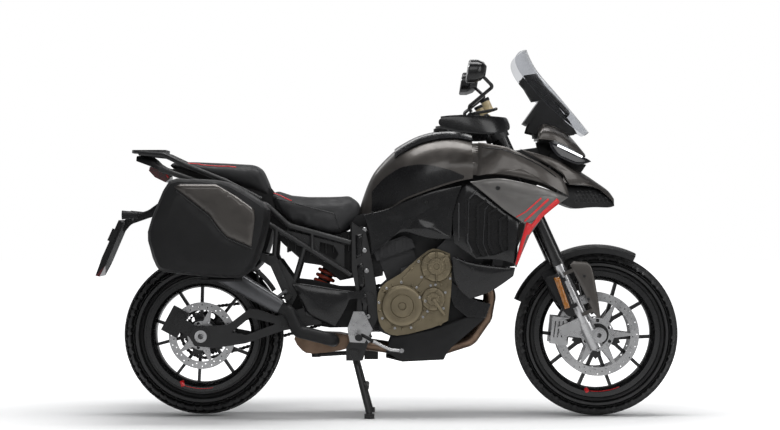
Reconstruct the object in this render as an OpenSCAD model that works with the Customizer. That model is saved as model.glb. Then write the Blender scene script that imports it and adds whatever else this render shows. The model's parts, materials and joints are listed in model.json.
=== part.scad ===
// Adventure motorcycle with side cases, standing on its centre stand.
// Millimetres. +X points forward, +Y to the rider's left, +Z up.
// The origin lies on the floor, under the middle of the machine.

/* [Wheels] */
// Distance between the two axles
wheelbase = 1567; // [1500:1:1620]
// How far the front axle lies ahead of the origin
front_axle_x = 832; // [822:1:842]
// Radius of the front tyre over its tread
front_tyre_r = 326; // [320:1:330]
// Radius of the rear tyre over its tread
rear_tyre_r = 318; // [312:1:324]
// Width of the front tyre
front_tyre_w = 120; // [110:1:124]
// Width of the rear tyre
rear_tyre_w = 170; // [160:1:176]
// Radius of the front rim at the tyre bead
front_bead_r = 241; // [236:1:246]
// Radius of the rear rim at the tyre bead
rear_bead_r = 216; // [211:1:221]
// Width of the front rim over its flanges
front_rim_w = 88; // [82:1:94]
// Width of the rear rim over its flanges
rear_rim_w = 138; // [130:1:142]
// Number of forked spokes in each wheel
spoke_count = 5; // [5:1:6]
// Radius of the front brake discs
front_disc_r = 165; // [160:0.5:168]
// Radius of the rear brake disc
rear_disc_r = 132; // [126:0.5:136]
// Thickness of a brake disc
disc_t = 5; // [4:0.5:6]
// Outer radius of the front axle tube
front_axle_r = 13; // [12:0.1:14]
// Radius of the hole through the front axle
front_axle_bore = 9; // [7:0.1:10]
// Outer radius of the rear axle tube
rear_axle_r = 15; // [14:0.1:17]
// Radius of the hole through the rear axle
rear_axle_bore = 11; // [9:0.1:12]
// Height of the rear tyre over the floor on the centre stand
stand_lift = 5; // [3:1:10]

// Number of teeth of the rear sprocket
rear_teeth = 40; // [38:1:42]
// Number of teeth of the gearbox sprocket
front_teeth = 16; // [15:1:17]

/* [Steering] */
// Angle of the steering axis from the vertical
rake = 24.5; // [24:0.1:25]
// Distance on the floor from the front contact to the steering axis
trail = 102.5; // [99:0.5:106]
// Distance of each fork leg from the centre plane
fork_half = 106; // [103:1:109]
// How far the fork legs lie ahead of the steering axis
clamp_offset = 13.5; // [11:0.5:16]
// Radius of the upper fork tubes
fork_outer_r = 28; // [26:0.5:29]
// Radius of the lower fork tubes
fork_slider_r = 23; // [21:0.5:25]
// Distance of the bar ends from the centre plane
bar_half = 450; // [440:1:460]
// Radius of the handlebar tube
bar_r = 11; // [10:0.5:12]
// Radius of a rubber grip
grip_r = 16.5; // [15:0.5:18]

/* [Luggage] */
// Distance of a side case's inner wall from the centre plane
case_in = 240; // [236:1:246]
// Distance of the split between case and lid from the centre plane
case_split = 350; // [344:1:356]
// Distance of a lid's outer face from the centre plane
case_out = 470; // [462:1:478]
// Thickness of the case walls
case_wall = 4; // [3:0.5:5]
// Radius of the lid hinge barrel
hinge_r = 7; // [6:0.5:8]
// Radius of the lid hinge pin
hinge_pin_r = 3; // [2.5:0.1:3.5]
// Radius of the screw holes in the rack plate
rack_hole_r = 3.3; // [2.6:0.1:4]
// Spacing of the screw holes along the rack plate
rack_hole_dx = 70; // [60:1:76]
// Spacing of the screw holes across the rack plate
rack_hole_dy = 110; // [100:1:120]

/* [Stands] */
// Distance of the centre stand's pivot behind the origin
stand_pivot_back = 135; // [130:1:140]
// Height of the centre stand's pivot
stand_pivot_z = 250; // [246:1:254]
// How far the centre stand's feet stand ahead of its pivot
stand_feet_ahead = 62; // [56:1:68]
// Distance of each centre stand foot from the centre plane
stand_feet_half = 150; // [144:1:158]
// Radius of the centre stand's pivot tube
stand_tube_r = 13; // [12:0.5:14]
// Length of the side stand from its pivot to its foot
side_stand_len = 232; // [222:1:240]

/* [Hidden] */
$fn = 48;
fit_gap = 0.3;
run_gap = 0.1;

front_axle_at = [front_axle_x, 0, front_tyre_r];
rear_axle_at = [front_axle_x - wheelbase, 0, rear_tyre_r + stand_lift];
steer_foot = [front_axle_x + trail, 0, 0];
// Place of the front axle in the steering frame: X ahead of the steering axis, Z along it
axle_ahead = front_tyre_r * sin(rake) - trail * cos(rake);
axle_up = front_tyre_r * cos(rake) + trail * sin(rake);
hub_half_front = 63;
hub_half_rear = 72;
front_disc_y = hub_half_front + disc_t / 2 + 0.5;
rear_disc_y = 100;
chain_y = 108;
arm_in = 128;
arm_out = 160;
swing_pivot = [-80, 0, 470];
lower_clamp_z = 930;
upper_clamp_z = 1205;
bar_z = 1275;

// Straight maths helpers
function unit(v) = v / norm(v);
function sum(v, i = 0) = i == len(v) - 1 ? v[i] : v[i] + sum(v, i + 1);
function mean(v) = sum(v) / len(v);
function area2(p) = sum([
    for (i = [0:len(p) - 1]) let (q = p[(i + 1) % len(p)]) p[i][0] * q[1] - q[0] * p[i][1]
]);
function turned(p) = area2(p) > 0 ? p : [for (i = [len(p) - 1:-1:0]) p[i]];
function through(a, b, c, d, t) =
    0.5 * (2 * b + (c - a) * t + (2 * a - 5 * b + 4 * c - d) * t * t + (3 * b - a - 3 * c + d) * t * t * t);
// A smooth open line through points, with n steps between neighbours
function line_through(p, n) = [
    for (i = [0:len(p) - 2], k = [0:n - 1])
        through(p[max(i - 1, 0)], p[i], p[i + 1], p[min(i + 2, len(p) - 1)], k / n),
    p[len(p) - 1]
];
// A smooth closed line through points, with n steps between neighbours
function ring_through(p, n) = let (m = len(p)) [
    for (i = [0:m - 1], k = [0:n - 1])
        through(p[(i + m - 1) % m], p[i], p[(i + 1) % m], p[(i + 2) % m], k / n)
];

// The same, where a third value of 1 keeps a point as a sharp corner
function flat(p) = [p[0], p[1]];
function edge_line(p, n) = let (m = len(p)) [
    for (i = [0:m - 1], k = [0:n - 1])
        let (
            b = flat(p[i]),
            c = flat(p[(i + 1) % m]),
            a = p[i][2] == 1 ? 2 * b - c : flat(p[(i + m - 1) % m]),
            d = p[(i + 1) % m][2] == 1 ? 2 * c - b : flat(p[(i + 2) % m])
        )
        through(a, b, c, d, k / n)
];
// A strip of width w along a line of points
function strip(p, w) = let (
    m = len(p),
    side = [for (i = [0:m - 1]) let (t = unit(p[min(i + 1, m - 1)] - p[max(i - 1, 0)])) w / 2 * [-t[1],
        t[0]]]
) concat([for (i = [0:m - 1]) p[i] + side[i]], [for (i = [m - 1:-1:0]) p[i] - side[i]]);

// A closed solid through sections that hold the same number of points.
// Each section runs counter-clockwise, seen from the last one towards the first.
// The ends are fans round the middle, or strips where a section is a thin curved band.
module loft(sections, band = false) {
    n = len(sections[0]);
    m = len(sections);
    e = (m - 1) * n;
    polyhedron(
        points = [for (s = sections) each s, mean(sections[0]), mean(sections[m - 1])],
        faces = [
            for (j = [0:m - 2], i = [0:n - 1])
                let (a = j * n + i, b = j * n + (i + 1) % n, c = b + n, d = a + n)
                    each [[a, c, b], [a, d, c]],
            if (!band) for (i = [0:n - 1]) each [[m * n, i, (i + 1) % n],
                [m * n + 1, e + (i + 1) % n, e + i]],
            if (band) for (k = [0:n / 2 - 2]) each [
                [k, k + 1, n - 2 - k], [k, n - 2 - k, n - 1 - k],
                [e + k, e + n - 2 - k, e + k + 1], [e + k, e + n - 1 - k, e + n - 2 - k]
            ]
        ]
    );
}

// A round pipe of radius r along corners, each bent to one radius, with flat ends
module bend_at(p, u, v, bend, r) {
    turn = acos(min(1, u * v));
    inward = unit(v - u * (u * v));
    about = cross(-inward, u);
    centre = p - bend * tan(turn / 2) * u + bend * inward;
    multmatrix([
        [-inward[0], u[0], about[0], centre[0]],
        [-inward[1], u[1], about[1], centre[1]],
        [-inward[2], u[2], about[2], centre[2]],
        [0, 0, 0, 1]
    ]) rotate_extrude(angle = turn) translate([bend, 0]) circle(r = r);
}
module pipe(path, r, bend) {
    m = len(path);
    along = [for (i = [0:m - 2]) unit(path[i + 1] - path[i])];
    cut = [
        for (i = [0:m - 1])
            i == 0 || i == m - 1 ? 0 : bend * tan(acos(min(1, along[i - 1] * along[i])) / 2)
    ];
    lap = 0.15 * sqrt(bend);
    step = 0.2 + 0.02 * r;
    function inset(i) = i == 0 || i == m - 1 ? 0 : cut[i] - lap;
    for (i = [0:m - 2])
        bar(path[i] + inset(i) * along[i], path[i + 1] - inset(i + 1) * along[i], r - step);
    for (i = [1:1:m - 2]) bend_at(path[i], along[i - 1], along[i], bend, r);
}

// A true round bar from a to b
module bar(a, b, r) {
    d = b - a;
    translate(a)
        rotate([0, acos(d[2] / norm(d)), atan2(d[1], d[0])])
            cylinder(h = norm(d), r = r);
}

// A round bar along Y, between two distances from the centre plane
module cross_bar(x, z, y0, y1, r) {
    translate([x, max(y0, y1), z]) rotate([90, 0, 0]) cylinder(h = abs(y1 - y0), r = r);
}

// A flat plate with an X-Z outline, between two values of Y
module side_plate(outline, y0, y1) {
    translate([0, max(y0, y1), 0])
        rotate([90, 0, 0]) linear_extrude(height = abs(y1 - y0)) polygon(outline);
}

module both_sides() {
    children();
    mirror([0, 1, 0]) children();
}

// Runs its children in the steering frame, whose Z axis is the steering axis
module steered() {
    translate(steer_foot) rotate([0, -rake, 0]) children();
}
// Distance from the centre plane of a leaning, bowed side surface at [x, z].
// lay = [distance, x, z of its reference point, slope along X, slope along Z, bow]
function out_at(p, lay) =
    lay[0] + lay[3] * (p[0] - lay[1]) + lay[4] * (p[1] - lay[2]) - lay[5] * pow((p[0] - lay[1]) / 100, 2);

// A moulded panel on the right side: its edge follows the outline, and rings of [scale, height] crown it
module side_panel(outline, lay, thick, rings) {
    edge = turned(outline);
    mid = mean(edge);
    all_rings = concat([[0.4, -thick], [0.98, -thick], [1, -thick * 0.6], [1, 0]], rings);
    loft([
        for (r = all_rings)
            [for (p = edge) let (q = mid + (p - mid) * r[0]) [q[0], -out_at(q, lay) - r[1], q[1]]]
    ]);
}

// A body section across X: a flattened arch from z_low to z_top, half width w and squareness n
function arch(x, z_low, z_top, w, n, steps) = [
    for (i = [0:steps])
        let (t = 180 * i / steps, c = cos(t), s = sin(t))
            [x, w * sign(c) * pow(abs(c), 2 / n), z_low + (z_top - z_low) * pow(max(s, 0), 2 / n)]
];

// Wheels
function tyre_outline(tyre_r, bead_r, w, rim_w) = let (
    h = tyre_r - bead_r, crown = 0.52 * h, half = w / 2, seat = rim_w / 2 - 7
) concat(
    [[bead_r + run_gap, -seat]],
    [for (k = [0:3]) let (t = k / 3) [bead_r + 0.16 * h + t * (0.84 * h - crown),
        -seat - 4 - (half - seat - 4) * sin(90 * t)]],
    [for (a = [-80:16:80]) [tyre_r - crown * (1 - cos(a)) / (1 - cos(88)), half * sin(a) / sin(88)]],
    [for (k = [3:-1:0]) let (t = k / 3) [bead_r + 0.16 * h + t * (0.84 * h - crown),
        seat + 4 + (half - seat - 4) * sin(90 * t)]],
    [[bead_r + run_gap, seat]],
    [[bead_r + 0.05 * h, seat - 10], [bead_r + h * 0.5, half - 14], [tyre_r - 0.26 * h, half * 0.55],
        [tyre_r - 0.17 * h, 0]],
    [[tyre_r - 0.26 * h, -half * 0.55], [bead_r + h * 0.5, -half + 14], [bead_r + 0.05 * h, -seat + 10]]
);
module tyre(tyre_r, bead_r, w, rim_w) {
    rotate([90, 0, 0]) rotate_extrude() polygon(tyre_outline(tyre_r, bead_r, w, rim_w));
}

// Cross-section of a cast rim, with its bead seats and its well
module rim_band(bead_r, rim_w) {
    half = rim_w / 2;
    rotate([90, 0, 0]) rotate_extrude()
        polygon(concat(
            [[bead_r + 9, half], [bead_r + 9, half - 4], [bead_r, half - 7], [bead_r - 1, half - 20]],
            [[bead_r - 16, half * 0.36], [bead_r - 16, -half * 0.36], [bead_r - 1, -half + 20],
                [bead_r, -half + 7]],
            [[bead_r + 9, -half + 4], [bead_r + 9, -half], [bead_r - 10, -half], [bead_r - 18, -half + 10]],
            [[bead_r - 27, -half * 0.4], [bead_r - 27, half * 0.4], [bead_r - 18, half - 10],
                [bead_r - 10, half]]
        ));
}

// One forked spoke in the wheel's plane, reaching out along +X
module spoke_outline(r_in, r_out, fork_deg) {
    for (s = [-1, 1])
        polygon([
            [r_in * cos(s * 26), r_in * sin(s * 26)],
            [r_in * cos(s * 4), r_in * sin(s * 4)],
            [r_out * 0.42 * cos(s * 5), r_out * 0.42 * sin(s * 5)],
            [r_out * cos(s * (fork_deg - 1.6)), r_out * sin(s * (fork_deg - 1.6))],
            [r_out * cos(s * (fork_deg + 1.8)), r_out * sin(s * (fork_deg + 1.8))],
            [r_out * 0.4 * cos(s * 14), r_out * 0.4 * sin(s * 14)]
        ]);
    polygon([
        [r_in * cos(26), -r_in * sin(26)], [r_out * 0.4 * cos(10), -r_out * 0.4 * sin(10)],
        [r_out * 0.47, 0], [r_out * 0.4 * cos(10), r_out * 0.4 * sin(10)], [r_in * cos(26), r_in * sin(26)]
    ]);
}
module cast_wheel(bead_r, rim_w, hub_r, hub_half, bore, spoke_t, fork_deg, first_deg) {
    difference() {
        union() {
            rim_band(bead_r, rim_w);
            translate([0, spoke_t / 2, 0]) rotate([90, 0, 0]) linear_extrude(height = spoke_t)
                for (k = [0:spoke_count - 1])
                    rotate(first_deg + 360 * k / spoke_count) spoke_outline(hub_r - 4, bead_r - 24,
                        fork_deg);
            cross_bar(0, 0, -hub_half, hub_half, hub_r);
            both_sides() cross_bar(0, 0, hub_half - 9, hub_half, hub_r + 14);
        }
        cross_bar(0, 0, -hub_half - 1, hub_half + 1, bore);
    }
}

// A drilled brake disc on a spider, lying in the wheel's plane at y
module brake_disc(disc_r, width, y, arms, bolt_r, bore, rows) {
    translate([0, y + disc_t / 2, 0]) rotate([90, 0, 0]) linear_extrude(height = disc_t)
        difference() {
            circle(r = disc_r);
            circle(r = disc_r - width);
            for (row = [0:rows - 1], k = [0:19])
                rotate(18 * k + 7 * row) translate([disc_r - width * (row + 1) / (rows + 1),
                    0]) circle(r = 2.6, $fn = 16);
        }
    translate([0, y + disc_t / 2 + 0.5, 0]) rotate([90, 0, 0]) linear_extrude(height = disc_t + 1)
        difference() {
            union() {
                circle(r = bolt_r);
                for (k = [0:arms - 1])
                    rotate(360 * k / arms)
                        polygon([[bolt_r - 6, -15], [disc_r - width + 5, -4], [disc_r - width + 5, 4],
                            [bolt_r - 6, 15]]);
            }
            circle(r = bore);
            for (k = [0:arms - 1])
                rotate(360 * (k + 0.5) / arms) translate([(bore + bolt_r) / 2, 0]) circle(r = 7, $fn = 24);
        }
}

module front_rim() {
    color("#1b1b1c") translate(front_axle_at)
        cast_wheel(front_bead_r, front_rim_w, 42, hub_half_front, front_axle_r + run_gap, 30, 17, -20);
}
module front_tyre() {
    color("#202022") translate(front_axle_at) tyre(front_tyre_r, front_bead_r, front_tyre_w, front_rim_w);
}
module front_discs() {
    color("#8d9092") translate(front_axle_at) both_sides()
        brake_disc(front_disc_r, 34, -front_disc_y, 6, 66, 44, 3);
}
module rear_rim() {
    color("#1b1b1c") translate(rear_axle_at)
        cast_wheel(rear_bead_r, rear_rim_w, 52, hub_half_rear, rear_axle_r + run_gap, 34, 14, -38);
}
module rear_tyre() {
    color("#202022") translate(rear_axle_at) tyre(rear_tyre_r, rear_bead_r, rear_tyre_w, rear_rim_w);
}
module rear_disc() {
    color("#8d9092") translate(rear_axle_at) {
        brake_disc(rear_disc_r, 30, -rear_disc_y, 5, 58, 40, 2);
        difference() {
            cross_bar(0, 0, -rear_disc_y - disc_t / 2 - 0.5, -hub_half_rear, 46);
            cross_bar(0, 0, -rear_disc_y - disc_t, -hub_half_rear + 1, 40);
        }
    }
}
chain_pitch = 15.875;
roller_r = 5.1;
link_half = 7;
sprocket_r = chain_pitch / 2 / sin(180 / rear_teeth);
front_sprocket_r = chain_pitch / 2 / sin(180 / front_teeth);
front_sprocket_at = [-5, 0, 478];
module rear_sprocket() {
    tip_r = sprocket_r - roller_r - 3;
    root_r = tip_r - link_half;
    color("#6d6f70") translate(rear_axle_at) {
        translate([0, chain_y + 3.5, 0]) rotate([90, 0, 0]) linear_extrude(height = 7)
            difference() {
                polygon([
                    for (k = [0:2 * rear_teeth - 1])
                        (k % 2 == 0 ? tip_r : root_r) * [cos(180 * k / rear_teeth),
                            sin(180 * k / rear_teeth)]
                ]);
                circle(r = 46);
                for (k = [0:5]) rotate(60 * k + 12) translate([70, 0]) circle(r = 13);
            }
        difference() {
            cross_bar(0, 0, hub_half_rear, chain_y + 3.5, 56);
            cross_bar(0, 0, hub_half_rear - 1, chain_y + 4.5, 46);
        }
    }
}

// The drive chain: rollers at one pitch round both sprockets, evenly spaced along the two runs,
// between side plates that are waisted from roller to roller
module chain() {
    rear = [rear_axle_at[0], rear_axle_at[2]];
    front = [front_sprocket_at[0], front_sprocket_at[2]];
    tilt = atan2(front[1] - rear[1], front[0] - rear[0]);
    lean = acos((sprocket_r - front_sprocket_r) / norm(front - rear));
    rear_links = floor((180 - lean) * rear_teeth / 180);
    front_links = floor(lean * front_teeth / 180);
    function arc(at, r, teeth, mid, links) =
        [for (k = [0:links]) at + r * [cos(mid + 360 / teeth * (k - links / 2)),
            sin(mid + 360 / teeth * (k - links / 2))]];
    function run(p,
        q) = let (n = round(norm(q - p) / chain_pitch)) [for (k = [1:n - 1]) p + (q - p) * k / n];
    rear_arc = arc(rear, sprocket_r, rear_teeth, tilt + 180, rear_links);
    front_arc = arc(front, front_sprocket_r, front_teeth, tilt, front_links);
    rollers = concat(
        rear_arc, run(rear_arc[rear_links], front_arc[0]), front_arc,
        run(front_arc[front_links], rear_arc[0])
    );
    m = len(rollers);
    function outward(i) = let (t = unit(rollers[(i + 1) % m] - rollers[(i + m - 1) % m])) [t[1], -t[0]];
    function outline(s) = [
        for (i = [0:m - 1]) each [
            rollers[i] + s * link_half * outward(i),
            (rollers[i] + rollers[(i + 1) % m]) / 2
                + s * 0.66 * link_half * unit(outward(i) + outward((i + 1) % m))
        ]
    ];
    color("#4c4a47") {
        for (s = [-1, 1])
            translate([0, chain_y + s * 8 + 1.5, 0]) rotate([90, 0, 0]) linear_extrude(height = 3)
                difference() {
                    polygon(outline(1));
                    polygon(outline(-1));
                }
        translate([0, chain_y + 7, 0]) rotate([90, 0, 0])
            for (p = rollers) translate(p) cylinder(h = 14, r = roller_r, $fn = 16);
    }
}

// Frame, engine and running gear
plate_in = 122;
plate_out = 136;
stand_pivot = [-stand_pivot_back, 0, stand_pivot_z];
side_stand_at = [-62, 182, 244];
side_stand_axis = [0, cos(20), sin(20)];
module main_frame() {
    plate = [
        [-142, 772], [-87, 733], [-63, 615], [-45, 500], [-39, 394], [-62, 347],
        [-100, 226], [-165, 226], [-165, 275], [-130, 347], [-120, 470], [-142, 583]
    ];
    color("#2a2b2d") difference() {
        union() {
            steered() translate([0, 0, lower_clamp_z + 52]) cylinder(h = upper_clamp_z - lower_clamp_z - 60,
                r = 34);
            side_plate(concat([[436, 1086], [452, 1090], [506, 968], [300, 850], [60, 742], [-60, 700],
                [-60, 764]],
                [for (r = tank_rows) if (r[0] > -50) [r[0], r[1] - fit_gap]], [[352, 952]]), -34, 34);
            side_plate([[470, 1052], [495, 992], [640, 968], [640, 1056], [600, 1070]], -24, 24);
            both_sides() {
                side_plate(plate, plate_in, plate_out);
                cross_bar(stand_pivot[0], stand_pivot[2], 112, plate_out + 8, stand_tube_r + 8);
            }
            cross_bar(-100, 738, -plate_in - 1, plate_in + 1, 18);
            cross_bar(-52, 732, -40, 40, 30);
            side_plate([[-112, 722], [-40, 704], [-40, 760], [-112, 754]], -30, 30);
            cross_bar(-95, 372, -plate_in - 1, plate_in + 1, 16);
            cross_bar(swing_pivot[0], swing_pivot[2], -plate_out - 6, plate_out + 6, 15);
            both_sides() cross_bar(swing_pivot[0], swing_pivot[2], plate_in, plate_out + 6, 26);
            translate([side_stand_at[0] - 34, plate_out - 1, side_stand_at[2] - 30]) cube([56, 22, 48]);
        }
        steered() translate([0, 0, lower_clamp_z]) cylinder(h = upper_clamp_z - lower_clamp_z + 60,
            r = 16 + fit_gap);
        cross_bar(stand_pivot[0], stand_pivot[2], -200, 200, stand_tube_r + run_gap);
        bar(side_stand_at - 42 * side_stand_axis, side_stand_at, 6 + run_gap);
    }
}

rail = [[-147.2, 128, 690], [-392, 124, 758.8], [-478, 118, 838], [-905, 104, 984]];
stay = [[-145.8, 129, 562], [-478, 127, 770], [-600, 116, 878]];
module subframe() {
    color("#232426") both_sides() {
        pipe(rail, 12, 60);
        pipe(stay, 11, 60);
        bar([-300, 127, 730], [-300, 131, 660], 8);
        bar([-480, 119, 838], [-480, 125, 774], 8);
        difference() {
            side_plate([[-418, 744], [-172, 684], [-172, 590], [-318, 670]], 114, 119);
            side_plate([[-268, 694], [-214, 680], [-194, 646], [-210, 622], [-272, 658]], 110, 123);
        }
        for (k = [0:5]) side_plate(strip([[-400 + 20 * k, 734 - 5 * k], [-380 + 20 * k, 716 - 10 * k]], 6),
            118, 123);
        side_plate([[-505, 655], [-424, 622], [-345, 512], [-380, 440], [-398, 446], [-392, 520],
            [-450, 590], [-505, 625]], 142, 152);
        bar([-440, 129, 742], [-450, 142, 620], 9);
        bar([-330, 131, 672], [-372, 142, 530], 9);
        cross_bar(-560, 866, 108, case_in - 0.2, 10);
        cross_bar(-800, 880, 60, case_in - 0.2, 10);
        cross_bar(-540, 640, 140, case_in - 0.2, 9);
        bar([-540, 146, 640], [-470, 146, 640], 5.5);
        bar([-800, 112, 880], [-800, 110, 948], 8);
    }
    color("#232426") {
        cross_bar(-480, 838, -118, 118, 9);
        cross_bar(-800, 880, -80, 80, 9);
        cross_bar(-895, 980, -104, 104, 9);
        cross_bar(-300, 731, -126, 126, 9);
    }
}

module engine() {
    color("#3a3b3d") {
        side_plate([[-34, 340], [30, 312], [180, 345], [244, 384], [252, 540], [170, 605], [70, 610],
            [-30, 520]], -93, 93);
        side_plate([[52, 336], [170, 352], [232, 400], [236, 560], [120, 612], [52, 590]], -148, 148);
        translate([150, 0, 500]) rotate([0, 45, 0]) {
            side_plate([[-78, 0], [78, 0], [78, 160], [-78, 160]], -140, 140);
            side_plate([[-90, 150], [90, 150], [90, 204], [74, 246], [-74, 246], [-90, 204]], -146, 146);
            for (y = [-120, 0, 120], x = [-82, 82]) translate([x, y, 150]) cylinder(h = 66, r = 11);
        }
        translate([70, 0, 540]) rotate([0, -20, 0]) {
            side_plate([[-70, 0], [70, 0], [70, 130], [-70, 130]], -92, 92);
            side_plate([[-80, 112], [80, 112], [80, 146], [54, 170], [-54, 170], [-80, 146]], -118, 118);
            both_sides() for (k = [-1.5:1:1.5]) side_plate(strip([[32 * k - 10, 118], [32 * k + 6, 160]],
                12), 116, 124);
        }
        cross_bar(front_sprocket_at[0], front_sprocket_at[2], 90, chain_y + 4, front_sprocket_r - link_half - fit_gap);
        difference() {
            side_plate([[-30, 404], [-30, 342], [-95, 350], [-118, 372], [-95, 394]], -60, 60);
            cross_bar(-95, 372, -70, 70, 16 + run_gap);
        }
    }
}

module round_cover(at, y, r, depth, ribs) {
    translate([at[0], -y, at[1]]) rotate([90, 0, 0]) {
        rotate_extrude() polygon([
            [0, 0], [r, 0], [r, depth * 0.45], [r * 0.94, depth * 0.66], [r * 0.84, depth * 0.74],
            [r * 0.56, depth * 0.72], [r * 0.52, depth], [r * 0.2, depth], [r * 0.17, depth * 0.8],
            [0, depth * 0.8]
        ]);
        for (k = [0:ribs - 1])
            rotate(360 * k / ribs) translate([r * 0.5, -2, 0]) cube([r * 0.47, 4, depth * 0.86]);
    }
}
module engine_covers() {
    cover = [
        [118, 630, 1], [176, 668], [244, 648, 1], [250, 533], [236, 385, 1], [176, 358], [36, 326],
        [-26, 358],
        [-42, 440], [-28, 516], [50, 570, 1]
    ];
    clutch = [56, 443];
    cam_drive = [190, 598];
    pump = [178, 470];
    pump_out = [222, 408];
    color("#6b5f45") both_sides() {
        side_plate(edge_line(cover, 3), -148.3, -158);
        round_cover(clutch, 157, 82, 34, 0);
        for (a = [20, 140, 260])
            translate([clutch[0], -157, clutch[1]]) rotate([90, a, 0])
                rotate_extrude(angle = 46) translate([56, 0]) square([5, 30]);
        round_cover(cam_drive, 157, 62, 26, 8);
        bar([cam_drive[0] + 14, -176, cam_drive[1] + 14], [cam_drive[0] + 46, -168, cam_drive[1] + 44], 8);
        round_cover(pump, 157, 47, 24, 6);
        bar([pump[0], -178, pump[1]], [pump_out[0], -172, pump_out[1]], 7.5);
        difference() {
            cross_bar(166, 396, -157, -168, 16);
            cross_bar(166, 396, -164, -169, 11);
        }
        for (p = [[118, 616], [150, 646], [236, 636], [240, 520], [206, 372], [110, 350], [8, 346],
            [-28, 420], [-14, 506], [92, 588]])
            cross_bar(p[0], p[1], -157, -165, 6);
    }
}

module radiator() {
    color("#1e1f20") translate([440, 0, 668]) rotate([0, 10, 0]) {
        translate([-16, -150, -110]) cube([32, 300, 220]);
        for (s = [-1, 1]) translate([-20, s * 162 - 14, -114]) cube([40, 28, 228]);
        for (k = [0:9]) translate([15, -149, -104 + 21.6 * k]) cube([4, 298, 5]);
    }
    color("#1e1f20") both_sides() bar([440, 60, 690], [293.5, 60, 714], 8);
}

silencer_in = [-420, -205, 440];
silencer_end = [-760, -200, 640];
silencer_along = unit(silencer_end - silencer_in);
module exhaust() {
    box = [[-372, 308], [-340, 262], [-300, 250], [-190, 262], [-150, 280], [-146, 312], [-190, 330],
        [-340, 330]];
    color("#6e5a48") {
        both_sides() pipe([
            [341.1, 50, 563.4], [410, 50, 494], [392, 48, 392], [330, 42, 302], [215, 36, 264], [40, 33, 266],
            [-165, 36, 296]
        ], 23, 60);
        side_plate(ring_through(box, 2), -72, 72);
        side_plate([for (p = ring_through(box, 2)) mean(box) + 0.9 * (p - mean(box))], -82, 82);
        pipe([
            [-216, -60, 300], [-220, -186, 312], [-352, -204, 346], silencer_in - 40 * silencer_along,
            silencer_in - fit_gap * silencer_along
        ], 26, 34);
    }
}

module silencer() {
    up = cross([0, 1, 0], silencer_along);
    function ring(s, w, h) = [
        for (a = [0:15:345]) silencer_in + s * silencer_along
            - [0, 1, 0] * w * pow(abs(cos(a)), 0.7) * sign(cos(a)) + up * h * pow(abs(sin(a)),
                0.7) * sign(sin(a))
    ];
    color("#75777a") {
        difference() {
            loft([
                ring(0, 28, 29), ring(40, 32, 34), ring(120, 34, 37), ring(320, 34, 40), ring(380, 32, 36), ring(392, 24, 28)
            ]);
            bar(silencer_in + 372 * silencer_along, silencer_in + 400 * silencer_along, 20);
        }
        cross_bar(-402, 500, -162.3, -178, 8);
        bar([-402, -172, 500], [-446, -192, 468], 7);
    }
}

// A point t of the way from the pivot to the rear axle, seen from the side, and a height above that line
function arm_at(t, up) = [
    swing_pivot[0] + t * (rear_axle_at[0] - swing_pivot[0]),
    swing_pivot[2] + t * (rear_axle_at[2] - swing_pivot[2]) + up
];
module swingarm() {
    x = rear_axle_at[0];
    z = rear_axle_at[2];
    pivot = [swing_pivot[0], swing_pivot[2]];
    arm = [
        arm_at(0.278, 17), arm_at(0.278, -57), arm_at(0.51, -50), arm_at(0.73, -67), [x + 55, z - 46],
        [x - 25, z - 38],
        [x - 48, z], [x - 25, z + 36], [x + 105, z + 44], arm_at(0.71, 66), arm_at(0.66, 57),
        arm_at(0.55, 13), arm_at(0.43, 21)
    ];
    hole = [[x + 120, z + 16], [x + 190, z + 74], arm_at(0.55, -17), arm_at(0.73, -35)];
    tongue = [
        arm_at(0.29, 10), pivot + [-40, 36], pivot + [0, 36], pivot + [0, -36], pivot + [-40, -40],
        arm_at(0.29, -45)
    ];
    color("#3b3a38") difference() {
        union() {
            both_sides() {
                side_plate(arm, arm_in, arm_out);
                cross_bar(x, z, arm_in, arm_out + 5, 34);
            }
            side_plate([arm_at(0.276, 14.6), arm_at(0.276, -50), arm_at(0.39, -33), arm_at(0.39, 31.3)],
                -arm_out + 1, arm_out - 1);
            side_plate(tongue, -88, 88);
            cross_bar(pivot[0], pivot[1], -92, 92, 36);
        }
        both_sides() {
            side_plate(hole, arm_in - 1, arm_out + 1);
            side_plate([arm_at(0.32, -8), arm_at(0.32, -38), arm_at(0.52, -32), arm_at(0.52, -8)],
                arm_out - 4, arm_out + 1);
        }
        cross_bar(pivot[0], pivot[1], -125, 125, 15 + run_gap);
        cross_bar(x, z, -200, 200, rear_axle_r + run_gap);
    }
}

module rear_shock() {
    a = [-292, 0, 455];
    b = [-196, 0, 676];
    color("#a5402c") {
        bar(a, b, 26);
        translate(a) rotate([0, atan2(b[0] - a[0], b[2] - a[2]), 0])
            for (k = [0:6]) translate([0, 0, 60 + 22 * k]) rotate_extrude() translate([34, 0]) circle(r = 7,
                $fn = 20);
        bar(b, [-119, 0, 728], 14);
    }
}

module rear_axle() {
    color("#8b8d8f") translate(rear_axle_at) difference() {
        union() {
            cross_bar(0, 0, -arm_out - 16, arm_out + 16, rear_axle_r);
            both_sides() cross_bar(0, 0, arm_out + 5.2, arm_out + 14, 24);
            cross_bar(0, 0, -arm_in, -rear_disc_y - 12, 22);
            cross_bar(0, 0, arm_in, chain_y + 10, 22);
        }
        cross_bar(0, 0, -arm_out - 20, arm_out + 20, rear_axle_bore);
    }
}

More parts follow.
